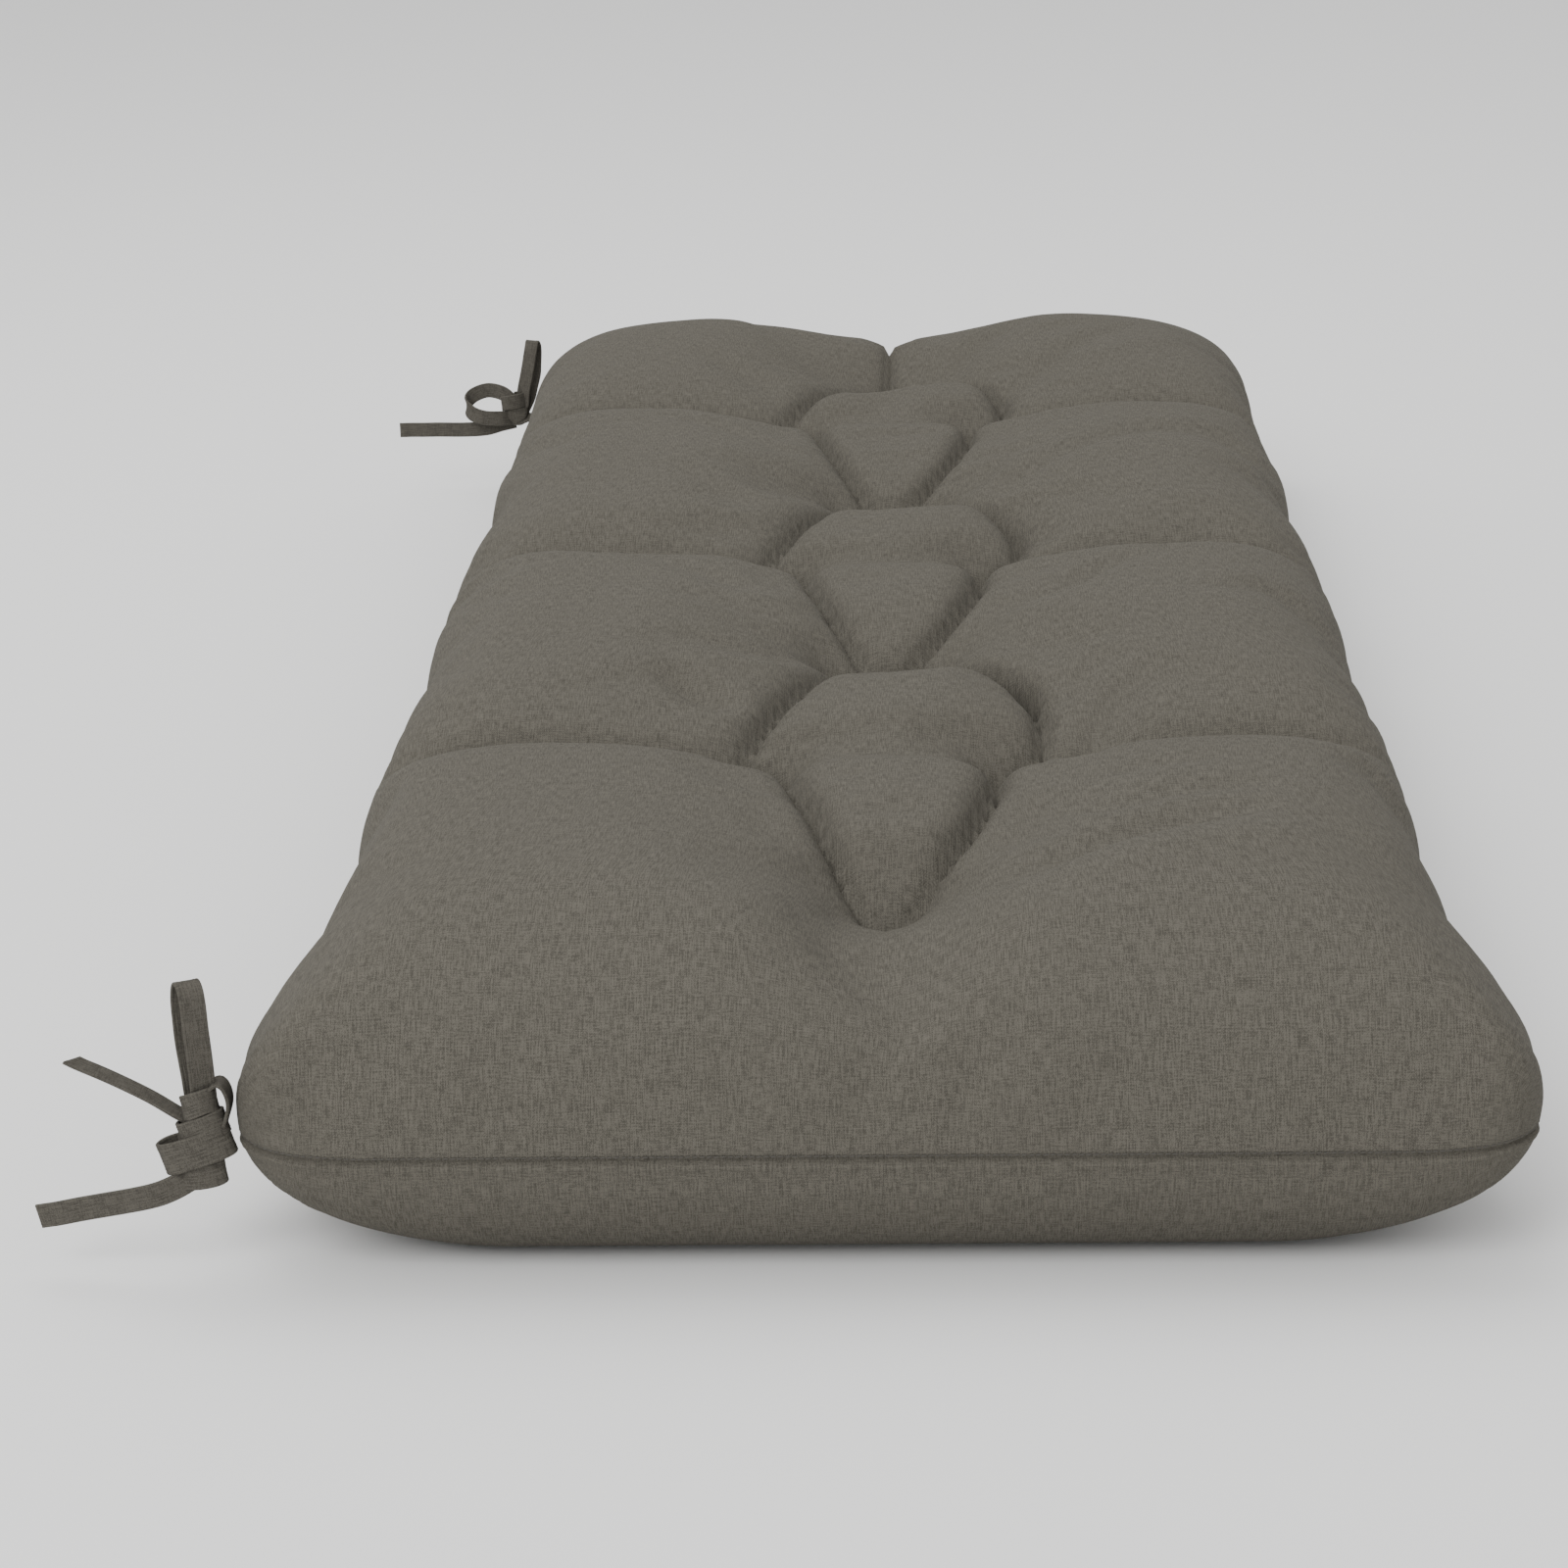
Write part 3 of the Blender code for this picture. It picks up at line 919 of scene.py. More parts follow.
def curve_shares(t: np.ndarray) -> tuple[np.ndarray, ...]:
    """Shares out four stops so that a curve runs smoothly through them.

    Args:
        t: How far each place is from the second stop to the third, from 0 to 1.

    Returns:
        The share of each of the four stops, for every place.
    """
    return (
        0.5 * (-t + 2 * t**2 - t**3),
        0.5 * (2 - 5 * t**2 + 3 * t**3),
        0.5 * (t + 4 * t**2 - 3 * t**3),
        0.5 * (-(t**2) + t**3),
    )


def blending(coarse: np.ndarray, count: int) -> np.ndarray:
    """Returns the weights that carry values smoothly from a few lines to all.

    Args:
        coarse: The numbers of the few lines, the first and the last among them.
        count: The number of all lines.

    Returns:
        A matrix of count rows, with a column for each of the few lines.
    """
    few = len(coarse)
    place = np.interp(np.arange(count), coarse, np.arange(few))
    start = np.minimum(place.astype(int), few - 2)
    weights = np.zeros((count, few))
    for offset, share in zip((-1, 0, 1, 2), curve_shares(place - start)):
        column = np.clip(start + offset, 0, few - 1)
        np.add.at(weights, (np.arange(count), column), share)
    return weights


def evened(values: np.ndarray, passes: int) -> np.ndarray:
    """Evens a grid out.

    Args:
        values: The grid's values, as along by across by parts.
        passes: How often each is averaged with its four neighbours.

    Returns:
        The evened values.
    """
    for _ in range(passes):
        padded = np.pad(values, ((1, 1), (1, 1), (0, 0)), mode="edge")
        values = (
            OWN_WEIGHT * values
            + NEIGHBOUR_WEIGHT * (padded[:-2, 1:-1] + padded[2:, 1:-1])
            + NEIGHBOUR_WEIGHT * (padded[1:-1, :-2] + padded[1:-1, 2:])
        )
    return values


@dataclass
class Settling:
    """Cloth simulation of the top panel, held by its seam and its tufts."""

    stride: int = 3
    frames: int = 20
    pressure: float = 4.0
    mass: float = 0.25
    stiffness: float = 30.0
    shear: float = 12.0
    bending: float = 0.25
    spare: float = -0.026
    cap: float = 0.008
    broad_share: float = 0.08
    fine_share: float = 0.75
    broad_passes: int = 40
    edge_lines: float = 5.0
    quality: int = 6
    air_damping: float = 2.0

    def settle(self, top: np.ndarray, held: np.ndarray) -> np.ndarray:
        """Lets the cloth swell and wrinkle over its filling.

        Args:
            top: The places of the top panel's grid, as along by across by 3.
            held: True where the panel is sewn down, as along by across.

        Returns:
            How far each place of the grid moves, as along by across by 3.
        """
        rows, columns = (
            np.unique(np.round(np.linspace(0, count - 1, 1 + count // self.stride)))
            for count in top.shape[:2]
        )
        rows, columns = rows.astype(int), columns.astype(int)
        start = top[np.ix_(rows, columns)]
        pinned = held[np.ix_(rows, columns)]
        moved = self.simulated(start, pinned) - start
        length = np.linalg.norm(moved, axis=2, keepdims=True)
        moved = moved * (np.minimum(length, self.cap) / np.maximum(length, SMALLEST))
        broad = evened(moved, self.broad_passes)
        moved = self.fine_share * (moved - broad) + self.broad_share * broad
        moved[pinned] = 0.0
        moved = evened(moved, 1)
        for axis, count in enumerate(moved.shape[:2]):
            from_edge = np.minimum(np.arange(count), np.arange(count)[::-1])
            free = eased(from_edge, 0.0, self.edge_lines)
            moved *= free[:, None, None] if axis == 0 else free[None, :, None]
        return np.einsum(
            "ai,bj,ijc->abc",
            blending(rows, top.shape[0]),
            blending(columns, top.shape[1]),
            moved,
            optimize=True,
        )

    def simulated(self, start: np.ndarray, pinned: np.ndarray) -> np.ndarray:
        """Runs the simulation on a coarse copy.

        Args:
            start: The places of the coarse grid, as along by across by 3.
            pinned: True where the grid is sewn down, as along by across.

        Returns:
            The places where the cloth ends.
        """
        number = np.arange(start.shape[0] * start.shape[1]).reshape(start.shape[:2])
        copy = mesh_piece("settling_panel", start.reshape(-1, 3), quad_numbers(number))
        group = copy.vertex_groups.new(name="sewn")
        group.add(number[pinned].tolist(), 1.0, "ADD")
        cloth = copy.modifiers.new("settling", "CLOTH")
        cloth.collision_settings.use_collision = False
        cloth.collision_settings.use_self_collision = False
        cloth.point_cache.frame_start = 1
        cloth.point_cache.frame_end = self.frames
        settings = cloth.settings
        settings.quality = self.quality
        settings.mass = self.mass
        settings.air_damping = self.air_damping
        settings.tension_stiffness = self.stiffness
        settings.compression_stiffness = self.stiffness
        settings.shear_stiffness = self.shear
        settings.bending_stiffness = self.bending
        settings.shrink_min = self.spare
        settings.use_pressure = True
        settings.uniform_pressure_force = self.pressure
        settings.vertex_group_mass = group.name
        settings.effector_weights.gravity = 0
        for frame in range(1, self.frames + 1):
            bpy.context.scene.frame_set(frame)
        settled = copy.evaluated_get(bpy.context.evaluated_depsgraph_get())
        places = np.zeros(start.size, np.float32)
        settled.data.vertices.foreach_get("co", places)
        bpy.data.objects.remove(copy)
        bpy.context.scene.frame_set(1)
        return places.reshape(start.shape).astype(float)


@dataclass
class Cushion:
    """The filled cushion, sewn round its edge and tufted through."""

    length: float
    width: float
    seam_height: float = 0.052
    crown: float = 0.075
    corner_radius: float = 0.026
    shoulder: float = 0.086
    shoulder_fullness: float = 2.0
    under_end: float = 0.044
    under_side: float = 0.0930
    waist: float = 0.0090
    pinch: float = 0.0060
    pinches: tuple[float, ...] = (-0.405, -0.165, 0.130)
    pull_width: float = 0.050
    ear_start: float = 0.120
    ear_end: float = 0.066
    swell: float = 0.0056
    swell_place: float = 0.046
    swell_reach: float = 0.058
    swell_height: float = 0.021
    swell_rise: float = 0.023
    dimple_depth: float = 0.010
    dimple_radius: float = 0.028
    hollow_joining: float = 2.6
    near_fullness: float = 4.0
    far_fullness: float = 1.6
    side_fullness: float = 3.0
    corner_steepness: float = 1.9
    soft_start: float = 0.190
    soft_end: float = 0.060
    droop: float = 0.0030
    droop_start: float = 0.045
    droop_run: float = 0.05
    droop_rise: float = 0.045
    cell: float = 0.0036
    edge_cell: float = 0.0009
    edge_growth: float = 1.22
    seam_depth: float = 0.0016
    seam_width: float = 0.0011
    lip: float = 0.0008
    lip_place: float = 2.2
    gathering: float = 0.0004
    gathers: tuple[Gathers, ...] = (
        Gathers(Ripple(430.0, 3.0, 61.0, 1.0), 0.26, 0.009, 0.005),
        Gathers(Ripple(118.0, 2.0, 37.0, 0.4), 1.0, 0.022, 0.013),
    )
    outline_steps: int = 1600
    sewn_reach: float = 0.0045
    fill: float = 0.75
    folds: Sequence[Fold] = FOLDS
    settling: Settling = field(default_factory=Settling)
    tufting: Tufting = field(init=False)

    def __post_init__(self) -> None:
        """Lays out the tufts for this size."""
        self.tufting = Tufting(self.length, self.width / 2)

    def lines(self, size: float) -> np.ndarray:
        """Returns grid lines from seam to seam, close together at each.

        Args:
            size: The distance between the two seams.

        Returns:
            The places of the lines, from -size / 2 to size / 2.
        """
        climbed, step, insets = 0.0, self.edge_cell, [0.0]
        while True:
            climbed += step
            step = min(step * self.edge_growth, self.cell)
            turn = climbed / self.shoulder
            inset = self.shoulder * (1 - math.cos(turn))
            if inset - insets[-1] > self.cell or turn > 1.0:
                break
            insets.append(inset)
        middle = size / 2 - insets[-1]
        count = 2 * round(middle / self.cell)
        inner = np.linspace(-middle, middle, count + 1)
        outer = size / 2 - np.array(insets[:-1])
        return np.concatenate([-outer, inner, outer[::-1]])

    def joined_inset(self, plan: np.ndarray, insets: np.ndarray) -> np.ndarray:
        """Returns the distance in from the seam, run smoothly round corners.

        Args:
            plan: The places in plan.
            insets: How far each is in from the end and from the long side.

        Returns:
            One distance for each place.
        """
        far = np.clip(plan[:, 0] / (self.length / 2), 0.0, 1.0) ** 2
        away = eased(insets[:, 0], self.soft_end, self.soft_start)
        steepness = self.corner_steepness
        steepness = steepness + (self.side_fullness - steepness) * away
        steep = rise_from_edge(insets[:, 1], self.shoulder, steepness)
        across = self.shoulder * (1 - np.sqrt(1 - steep**2))
        across = across + np.maximum(insets[:, 1] - self.shoulder, 0.0)
        along = np.maximum(insets[:, 0], SMALLEST)
        across = np.maximum(across, SMALLEST)
        power = self.near_fullness + (self.far_fullness - self.near_fullness) * far
        larger, smaller = np.maximum(along, across), np.minimum(along, across)
        return smaller / (1 + (smaller / larger) ** power) ** (1 / power)

    def taken(self, plan: np.ndarray) -> np.ndarray:
        """Joins all the hollows smoothly.

        Args:
            plan: The places in plan.

        Returns:
            The share of the crown at each place.
        """
        power = self.hollow_joining
        pulls = sum(hollow.taken(plan) ** power for hollow in self.tufting.hollows())
        return pulls ** (1 / power)

    def sewn_down(self, along: np.ndarray, across: np.ndarray) -> np.ndarray:
        """Finds the crossings that the seam or a sewn line holds.

        Args:
            along: The grid's lines along the cushion.
            across: The grid's lines across it.

        Returns:
            True for each crossing that is held, as along by across.
        """
        square = np.stack(np.meshgrid(along, across, indexing="ij"), axis=-1)
        plan = self.rounded(square.reshape(-1, 2))
        nearest = np.full(len(plan), np.inf)
        for line in self.tufting.sewn_lines():
            nearest = np.minimum(nearest, nearest_on_line(plan, line)[0])
        held = (nearest < self.sewn_reach).reshape(square.shape[:2])
        held[[0, -1]] = True
        held[:, [0, -1]] = True
        return held

    def top_heights(self, plan: np.ndarray, insets: np.ndarray) -> np.ndarray:
        """Shapes the top panel.

        Args:
            plan: The places in plan.
            insets: How far each is in from the end and from the long side.

        Returns:
            The height of the panel at each place.
        """
        rise = rise_from_edge(
            self.joined_inset(plan, insets), self.shoulder, self.shoulder_fullness
        )
        heights = self.seam_height + self.crown * rise * (1 - self.taken(plan))
        for fold in self.folds:
            heights = heights + fold.lift(plan) * rise
        return heights

    def under_fall(self, insets: np.ndarray) -> np.ndarray:
        """Lets the underside fall from the seam.

        Args:
            insets: How far each place is in from the end and from the long side.

        Returns:
            0 at the seam and 1 on the flat that the cushion lies on.
        """
        end = rise_from_edge(insets[:, 0], self.under_end)
        side = rise_from_edge(insets[:, 1], self.under_side)
        return end * side

    def under_heights(self, plan: np.ndarray, insets: np.ndarray) -> np.ndarray:
        """Shapes the underside.

        Args:
            plan: The places in plan.
            insets: How far each is in from the end and from the long side.

        Returns:
            The height of the panel at each place.
        """
        heights = self.seam_height * (1 - self.under_fall(insets))
        for tuft in self.tufting.tufts():
            away = np.hypot(*(plan - np.array(tuft)).T) / self.dimple_radius
            heights += self.dimple_depth * (1 - rise_from_edge(away, 1.0))
        return heights

    def rounded(self, square: np.ndarray) -> np.ndarray:
        """Rounds the corners in plan.

        Args:
            square: The places on a plan with square corners.

        Returns:
            The places on the rounded plan.
        """
        core = np.array([self.length / 2, self.width / 2]) - self.corner_radius
        past = (np.abs(square) - core) / self.corner_radius
        corner = (past > 0).all(axis=1)
        along, across = past[corner].T
        bent = np.stack(
            [along * np.sqrt(1 - across**2 / 2), across * np.sqrt(1 - along**2 / 2)],
            axis=1,
        )
        plan = square.copy()
        plan[corner] = np.sign(square[corner]) * (core + bent * self.corner_radius)
        return plan

    def outward(self, plan: np.ndarray) -> np.ndarray:
        """Finds the way out of the seam.

        Args:
            plan: The places in plan.

        Returns:
            A direction of length 1 near the seam, and nothing far inside it.
        """
        core = np.array([self.length / 2, self.width / 2]) - self.corner_radius
        gap = plan - np.clip(plan, -core, core)
        return gap / np.maximum(np.hypot(*gap.T), 1e-6)[:, None]

    def drawn(self, plan: np.ndarray, share: np.ndarray | float) -> np.ndarray:
        """Pulls the long edges in between the corners, which stand out as ears.

        Args:
            plan: The places in plan.
            share: How much of the whole pull each place takes.

        Returns:
            The moved places.
        """
        pull = sum(
            np.exp(-(((plan[:, 0] - x) / self.pull_width) ** 2))
            for x in self.pinches
        )
        left = self.length / 2 - np.abs(plan[:, 0])
        away = eased(left, self.ear_end, self.ear_start)
        shift = (self.waist * away + self.pinch * pull) * share
        moved = plan.copy()
        moved[:, 1] -= plan[:, 1] / (self.width / 2) * shift
        return moved

    def swollen(self, plan: np.ndarray, above: np.ndarray | float) -> np.ndarray:
        """Swells the near corners out above the seam.

        Args:
            plan: The places in plan.
            above: How far each is above the seam.

        Returns:
            How far each place moves outward.
        """
        from_end = plan[:, 0] + self.length / 2 - self.swell_place
        along = np.exp(-((from_end / self.swell_reach) ** 2))
        rise = np.exp(-(((above - self.swell_height) / self.swell_rise) ** 2))
        return self.swell * along * rise * np.abs(self.outward(plan)[:, 1])

    def sag(self, plan: np.ndarray, heights: np.ndarray) -> np.ndarray:
        """Lets the near end's seam droop between its corners.

        Args:
            plan: The places in plan.
            heights: The height of each.

        Returns:
            How far each place drops.
        """
        inside = self.width / 2 - np.abs(plan[:, 1])
        from_corner = eased(inside, 0.0, self.droop_start)
        from_end = (plan[:, 0] + self.length / 2) / self.droop_run
        apart = np.abs(heights - self.seam_height) / self.droop_rise
        near_seam = np.clip(1 - apart, 0, 1)
        return self.droop * from_corner * np.exp(-(from_end**2)) * near_seam

    def sunk(self, from_seam: np.ndarray, side: Panel) -> np.ndarray:
        """Sinks the sewn edge in, with a small rolled lip below it.

        Args:
            from_seam: How far above or below the seam each place is.
            side: The panel that it is on.

        Returns:
            How far each place moves inward.
        """
        inward = self.seam_depth * np.exp(-((from_seam / self.seam_width) ** 2))
        if side is Panel.UNDERSIDE:
            lip_place = self.lip_place * self.seam_width
            rolled = (from_seam - lip_place) / self.seam_width
            inward = inward - self.lip * np.exp(-(rolled**2))
        return inward

    def pucker(self, plan: np.ndarray, from_seam: np.ndarray) -> np.ndarray:
        """Gathers the cloth beside the seam.

        Args:
            plan: The places in plan.
            from_seam: How far above or below the seam each is.

        Returns:
            How far each place moves inward.
        """
        out = np.abs(self.outward(plan))
        along = plan[:, 0] * out[:, 1] + plan[:, 1] * out[:, 0]
        depth = sum(gathers.depth(along, from_seam) for gathers in self.gathers)
        return self.gathering * depth

    def seam_path(self, step: float) -> tuple[np.ndarray, np.ndarray]:
        """Goes once round the seam.

        Args:
            step: The distance to keep between two places.

        Returns:
            The places in plan, and the way along the seam at each.
        """
        half = np.array([self.length / 2, self.width / 2])
        turns = np.array([[-1, -1], [1, -1], [1, 1], [-1, 1], [-1, -1]]) * half
        share = np.linspace(0.0, 1.0, self.outline_steps, endpoint=False)[:, None]
        sides = [start + (end - start) * share for start, end in zip(turns, turns[1:])]
        plan = self.rounded(np.concatenate([*sides, turns[:1]]))
        swollen = self.outward(plan) * self.swollen(plan, 0.0)[:, None]
        plan = self.drawn(plan, 1.0) + swollen
        travelled = travelled_by(np.hypot(*np.diff(plan, axis=0).T))
        count = round(travelled[-1] / step)
        stops = np.linspace(0.0, travelled[-1], count, endpoint=False)
        places = np.stack(
            [np.interp(stops, travelled, plan[:, axis]) for axis in (0, 1)], axis=1
        )
        ahead = np.roll(places, -1, axis=0) - np.roll(places, 1, axis=0)
        return places, ahead / np.hypot(*ahead.T)[:, None]

    def panel(self, along: np.ndarray, across: np.ndarray, side: Panel) -> np.ndarray:
        """Shapes one panel over a grid.

        Args:
            along: The grid's lines along the cushion.
            across: The grid's lines across it.
            side: Which panel.

        Returns:
            A place for each crossing, as an array of along by across by 3.
        """
        square = np.stack(np.meshgrid(along, across, indexing="ij"), axis=-1)
        square = square.reshape(-1, 2)
        insets = np.array([self.length / 2, self.width / 2]) - np.abs(square)
        plan = self.rounded(square)
        if side is Panel.TOP:
            heights = self.top_heights(plan, insets)
            moved = self.drawn(plan, 1.0)
        else:
            heights = self.under_heights(plan, insets)
            moved = self.drawn(plan, 1 - self.under_fall(insets))
        above = heights - self.seam_height
        from_seam = np.abs(above)
        inward = self.sunk(from_seam, side) + self.pucker(plan, from_seam)
        inward = inward - self.swollen(plan, above)
        moved = moved - self.outward(plan) * inward[:, None]
        heights = heights - self.sag(plan, heights)
        shape = (len(along), len(across), 3)
        return np.concatenate([moved, heights[:, None]], axis=1).reshape(shape)

    def build(self, finish: Weave) -> bpy.types.Object:
        """Builds the cushion and dresses it.

        Args:
            finish: The cloth that it is sewn from.

        Returns:
            The cushion's object.
        """
        along, across = self.lines(self.length), self.lines(self.width)
        top = self.panel(along, across, Panel.TOP)
        top = top + self.settling.settle(top, self.sewn_down(along, across))
        underside = self.panel(along, across, Panel.UNDERSIDE)
        pad = sewn_pad("cushion_pad", top, underside)
        pad.data.materials.append(finish.material())
        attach(pad, BODY)
        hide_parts("cushion")
        return pad


def flat_places(panel: np.ndarray) -> np.ndarray:
    """Returns each crossing's place on the cloth before it was filled.

    Args:
        panel: The places of a grid, as along by across by 3.

    Returns:
        Lengths of cloth from the middle, as along by across by 2.
    """
    places = np.zeros((*panel.shape[:2], 2))
    for axis in (0, 1):
        steps = np.linalg.norm(np.diff(panel, axis=axis), axis=2)
        travelled = travelled_by(steps.mean(axis=1 - axis))
        travelled -= travelled[-1] / 2
        places[..., axis] = travelled[:, None] if axis == 0 else travelled[None, :]
    return places


def sewn_pad(name: str, top: np.ndarray, underside: np.ndarray) -> bpy.types.Object:
    """Joins two panels at their edges into one closed mesh.

    Args:
        name: The new object's name.
        top: The top panel's grid, as along by across by 3.
        underside: The underside's grid, with the same edge.

    Returns:
        The new object, smooth, with the cloth's flat map.
    """
    rows, columns = top.shape[:2]
    number = np.arange(rows * columns).reshape(rows, columns)
    inner = np.zeros((rows, columns), bool)
    inner[1:-1, 1:-1] = True
    under_number = number.copy()
    under_number[inner] = rows * columns + np.arange(inner.sum())
    points = np.concatenate([top.reshape(-1, 3), underside[inner]])
    faces = np.concatenate([quad_numbers(number), quad_numbers(under_number)[:, ::-1]])
    flat = quads_of(flat_places(top))
    under_flat = quads_of(flat_places(underside))[:, ::-1]
    return mesh_piece(name, points, faces, np.concatenate([flat, under_flat]))


def quads_of(grid: np.ndarray) -> np.ndarray:
    """Returns a grid's values at the four corners of each of its cells."""
    corners = (grid[:-1, :-1], grid[1:, :-1], grid[1:, 1:], grid[:-1, 1:])
    return np.stack(corners, axis=2).reshape(-1, 4, grid.shape[-1])


@dataclass
class SeamStitches:
    """The stitches that close the cushion, one after another round the seam."""

    cushion: Cushion
    pitch: float = 0.0025
    length: float = 0.0021
    thickness: float = 0.00064
    above_seam: float = 0.0017
    slant: float = 0.10
    sides: int = 8
    stations: tuple[float, ...] = (
        -1.0, -0.93, -0.74, -0.4, 0.0, 0.4, 0.74, 0.93, 1.0,
    )
    smallest_girth: float = 0.2
    proud: float = 0.25

    def stitch(self) -> tuple[np.ndarray, np.ndarray]:
        """Shapes one stitch that lies along +X.

        Returns:
            Its points, one row each, and its faces.
        """
        stations = np.array(self.stations)
        girths = np.sqrt(1 - np.abs(stations) ** 3)
        girths = np.maximum(girths, self.smallest_girth) * self.thickness / 2
        turns = np.arange(self.sides) * 2 * math.pi / self.sides
        places, turns = np.meshgrid(stations * self.length / 2, turns, indexing="ij")
        around = girths[:, None]
        rings = np.stack(
            [places, np.cos(turns) * around, np.sin(turns) * around], axis=-1
        )
        return rings.reshape(-1, 3), quad_numbers(ring_numbers(*places.shape))

    def build(self, finish: Thread) -> bpy.types.Object:
        """Builds every stitch as one piece.

        Args:
            finish: The thread.

        Returns:
            The stitches' object.
        """
        places, ahead = self.cushion.seam_path(self.pitch)
        out = np.stack([ahead[:, 1], -ahead[:, 0]], axis=1)
        height = np.array([self.above_seam])
        sunk = float(self.cushion.sunk(height, Panel.TOP)[0])
        middles = places - out * (sunk - self.proud * self.thickness)
        points, faces = self.stitch()
        tilted = points[:, 2] + self.slant * points[:, 0]
        flat = (
            middles[:, None]
            + points[None, :, :1] * ahead[:, None]
            + points[None, :, 1:2] * out[:, None]
        )
        level = self.cushion.seam_height + self.above_seam
        drop = self.cushion.sag(places, np.full(len(places), level))
        heights = level + tilted[None, :] - drop[:, None]
        placed = np.concatenate([flat, heights[..., None]], axis=2).reshape(-1, 3)
        first = np.arange(len(places))[:, None, None] * len(points)
        piece = mesh_piece("seam_stitches", placed, (faces + first).reshape(-1, 4))
        piece.data.materials.append(finish.material())
        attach(piece, BODY)
        return piece


@dataclass
class Tie:
    """A strap at a corner of the seam, tied in a bow.

    Its lengths are in metres. The stations, the border, the hem and the
    rounding are places in from an edge, as shares of half its width.
    """

    name: str
    node: str
    corner: Triple
    lump: Lump
    runs: tuple[Run, ...]
    strap_length: float
    strap_width: float = 0.0094
    cut_width: float = 0.010
    thickness: float = 0.0014
    step: float = 0.0011
    rounding: float = 0.12
    edge_stations: tuple[float, ...] = (0.0, 0.30, 0.55, 0.80, 1.0)
    flat_stations: tuple[float, ...] = (
        0.17, 0.21, 0.235, 0.26, 0.285, 0.31, 0.36, 0.5, 0.7, 0.85,
    )
    border: float = 0.4
    middle_share: float = 0.86
    hem: float = 0.26
    crease: float = 0.00013
    crease_width: float = 0.035
    waver: float = 0.00022
    waver_ripple: Ripple = Ripple(260.0, 2.0, 90.0)
    cut_reach: float = 0.012
    lump_grid: tuple[int, int] = (30, 48)
    lump_squareness: float = 0.8
    pleats: int = 4
    pleat_twist: int = 5
    pleat_depth: float = 0.045
    pole_gap: float = 0.005

    def profile(self) -> np.ndarray:
        """Returns the cross section of the folded, edge-stitched strap.

        Returns:
            Places across the width and through the thickness, as a closed loop.
        """
        edge = np.array(self.edge_stations) * self.rounding
        inset = np.concatenate([edge, np.array(self.flat_stations)])
        across = 1 - np.concatenate([inset, 2 - inset[::-1]])
        from_edge = 1 - np.abs(across)
        body = np.sqrt(1 - (1 - np.clip(from_edge / self.rounding, 0, 1)) ** 2)
        padding = np.where(from_edge < self.border, 1.0, self.middle_share)
        half = body * self.thickness / 2 * padding
        from_hem = (from_edge - self.hem) / self.crease_width
        half = half - self.crease * np.exp(-(from_hem**2))
        half[[0, -1]] = 0.0
        places = across * self.strap_width / 2
        front = np.stack([places, half], axis=1)
        back = np.stack([places, -half], axis=1)[1:-1][::-1]
        return np.concatenate([front, back])

    def smooth_route(self, run: Run) -> np.ndarray:
        """Draws a smooth curve along a run.

        Args:
            run: The run of strap.

        Returns:
            Places about a step apart, one row each.
        """
        stops = np.array(run.route, float) * MILLIMETRE
        ends = np.concatenate(
            [[2 * stops[0] - stops[1]], stops, [2 * stops[-1] - stops[-2]]]
        )
        places = [stops[:1]]
        for four in zip(ends, ends[1:], ends[2:], ends[3:]):
            length = float(np.linalg.norm(four[2] - four[1]))
            count = max(1, round(length / self.step))
            shares = curve_shares((np.arange(1, count + 1) / count)[:, None])
            places.append(sum(share * stop for share, stop in zip(shares, four)))
        return np.concatenate(places)

    def ribbon(self, run: Run) -> tuple[np.ndarray, np.ndarray, np.ndarray]:
        """Lays the cross section along a run.

        Args:
            run: The run of strap.

        Returns:
            The points in (out, back, up) from the corner, the faces, and each
            face corner's place on the flat strap.
        """
        middle = self.smooth_route(run)
        ahead = np.gradient(middle, axis=0)
        ahead /= np.linalg.norm(ahead, axis=1)[:, None]
        width = np.array(run.width_points) / np.linalg.norm(run.width_points)
        width = width - (ahead @ width)[:, None] * ahead
        width /= np.linalg.norm(width, axis=1)[:, None]
        through = np.cross(ahead, width)
        profile = self.profile()
        travelled = travelled_by(np.linalg.norm(np.diff(middle, axis=0), axis=1))
        waver = self.waver * self.waver_ripple.at(travelled)
        cut = np.clip(1 - (travelled[-1] - travelled) / self.cut_reach, 0, 1)
        across = profile[None, :, :1] * run.spread
        short = run.slant * cut[:, None, None] * (across / self.strap_width + 0.5)
        points = (
            (middle + waver[:, None] * through)[:, None]
            + across * width[:, None]
            + profile[None, :, 1:] * through[:, None]
            + short * ahead[:, None]
        )
        girth = np.linalg.norm(np.diff(profile, axis=0, append=profile[:1]), axis=1)
        around = travelled_by(girth)
        flat = np.stack(np.meshgrid(travelled, around, indexing="ij"), axis=-1)
        faces = quad_numbers(ring_numbers(*points.shape[:2]))
        return points.reshape(-1, 3), faces, quads_of(flat)

    def end_caps(self, points: np.ndarray, sides: int) -> tuple[np.ndarray, ...]:
        """Closes the two cut ends of a ribbon across its thickness.

        Args:
            points: The ribbon's points.
            sides: How many of them go once round it.

        Returns:
            The faces, and each face corner's place on the flat strap.
        """
        columns = np.arange(1, sides // 2)
        back = sides - columns
        first = np.stack([columns[:-1], columns[1:], back[1:], back[:-1]], axis=1)
        last = first[:, ::-1] + len(points) - sides
        caps = np.concatenate([first, last])
        return caps, points[caps][..., :2]

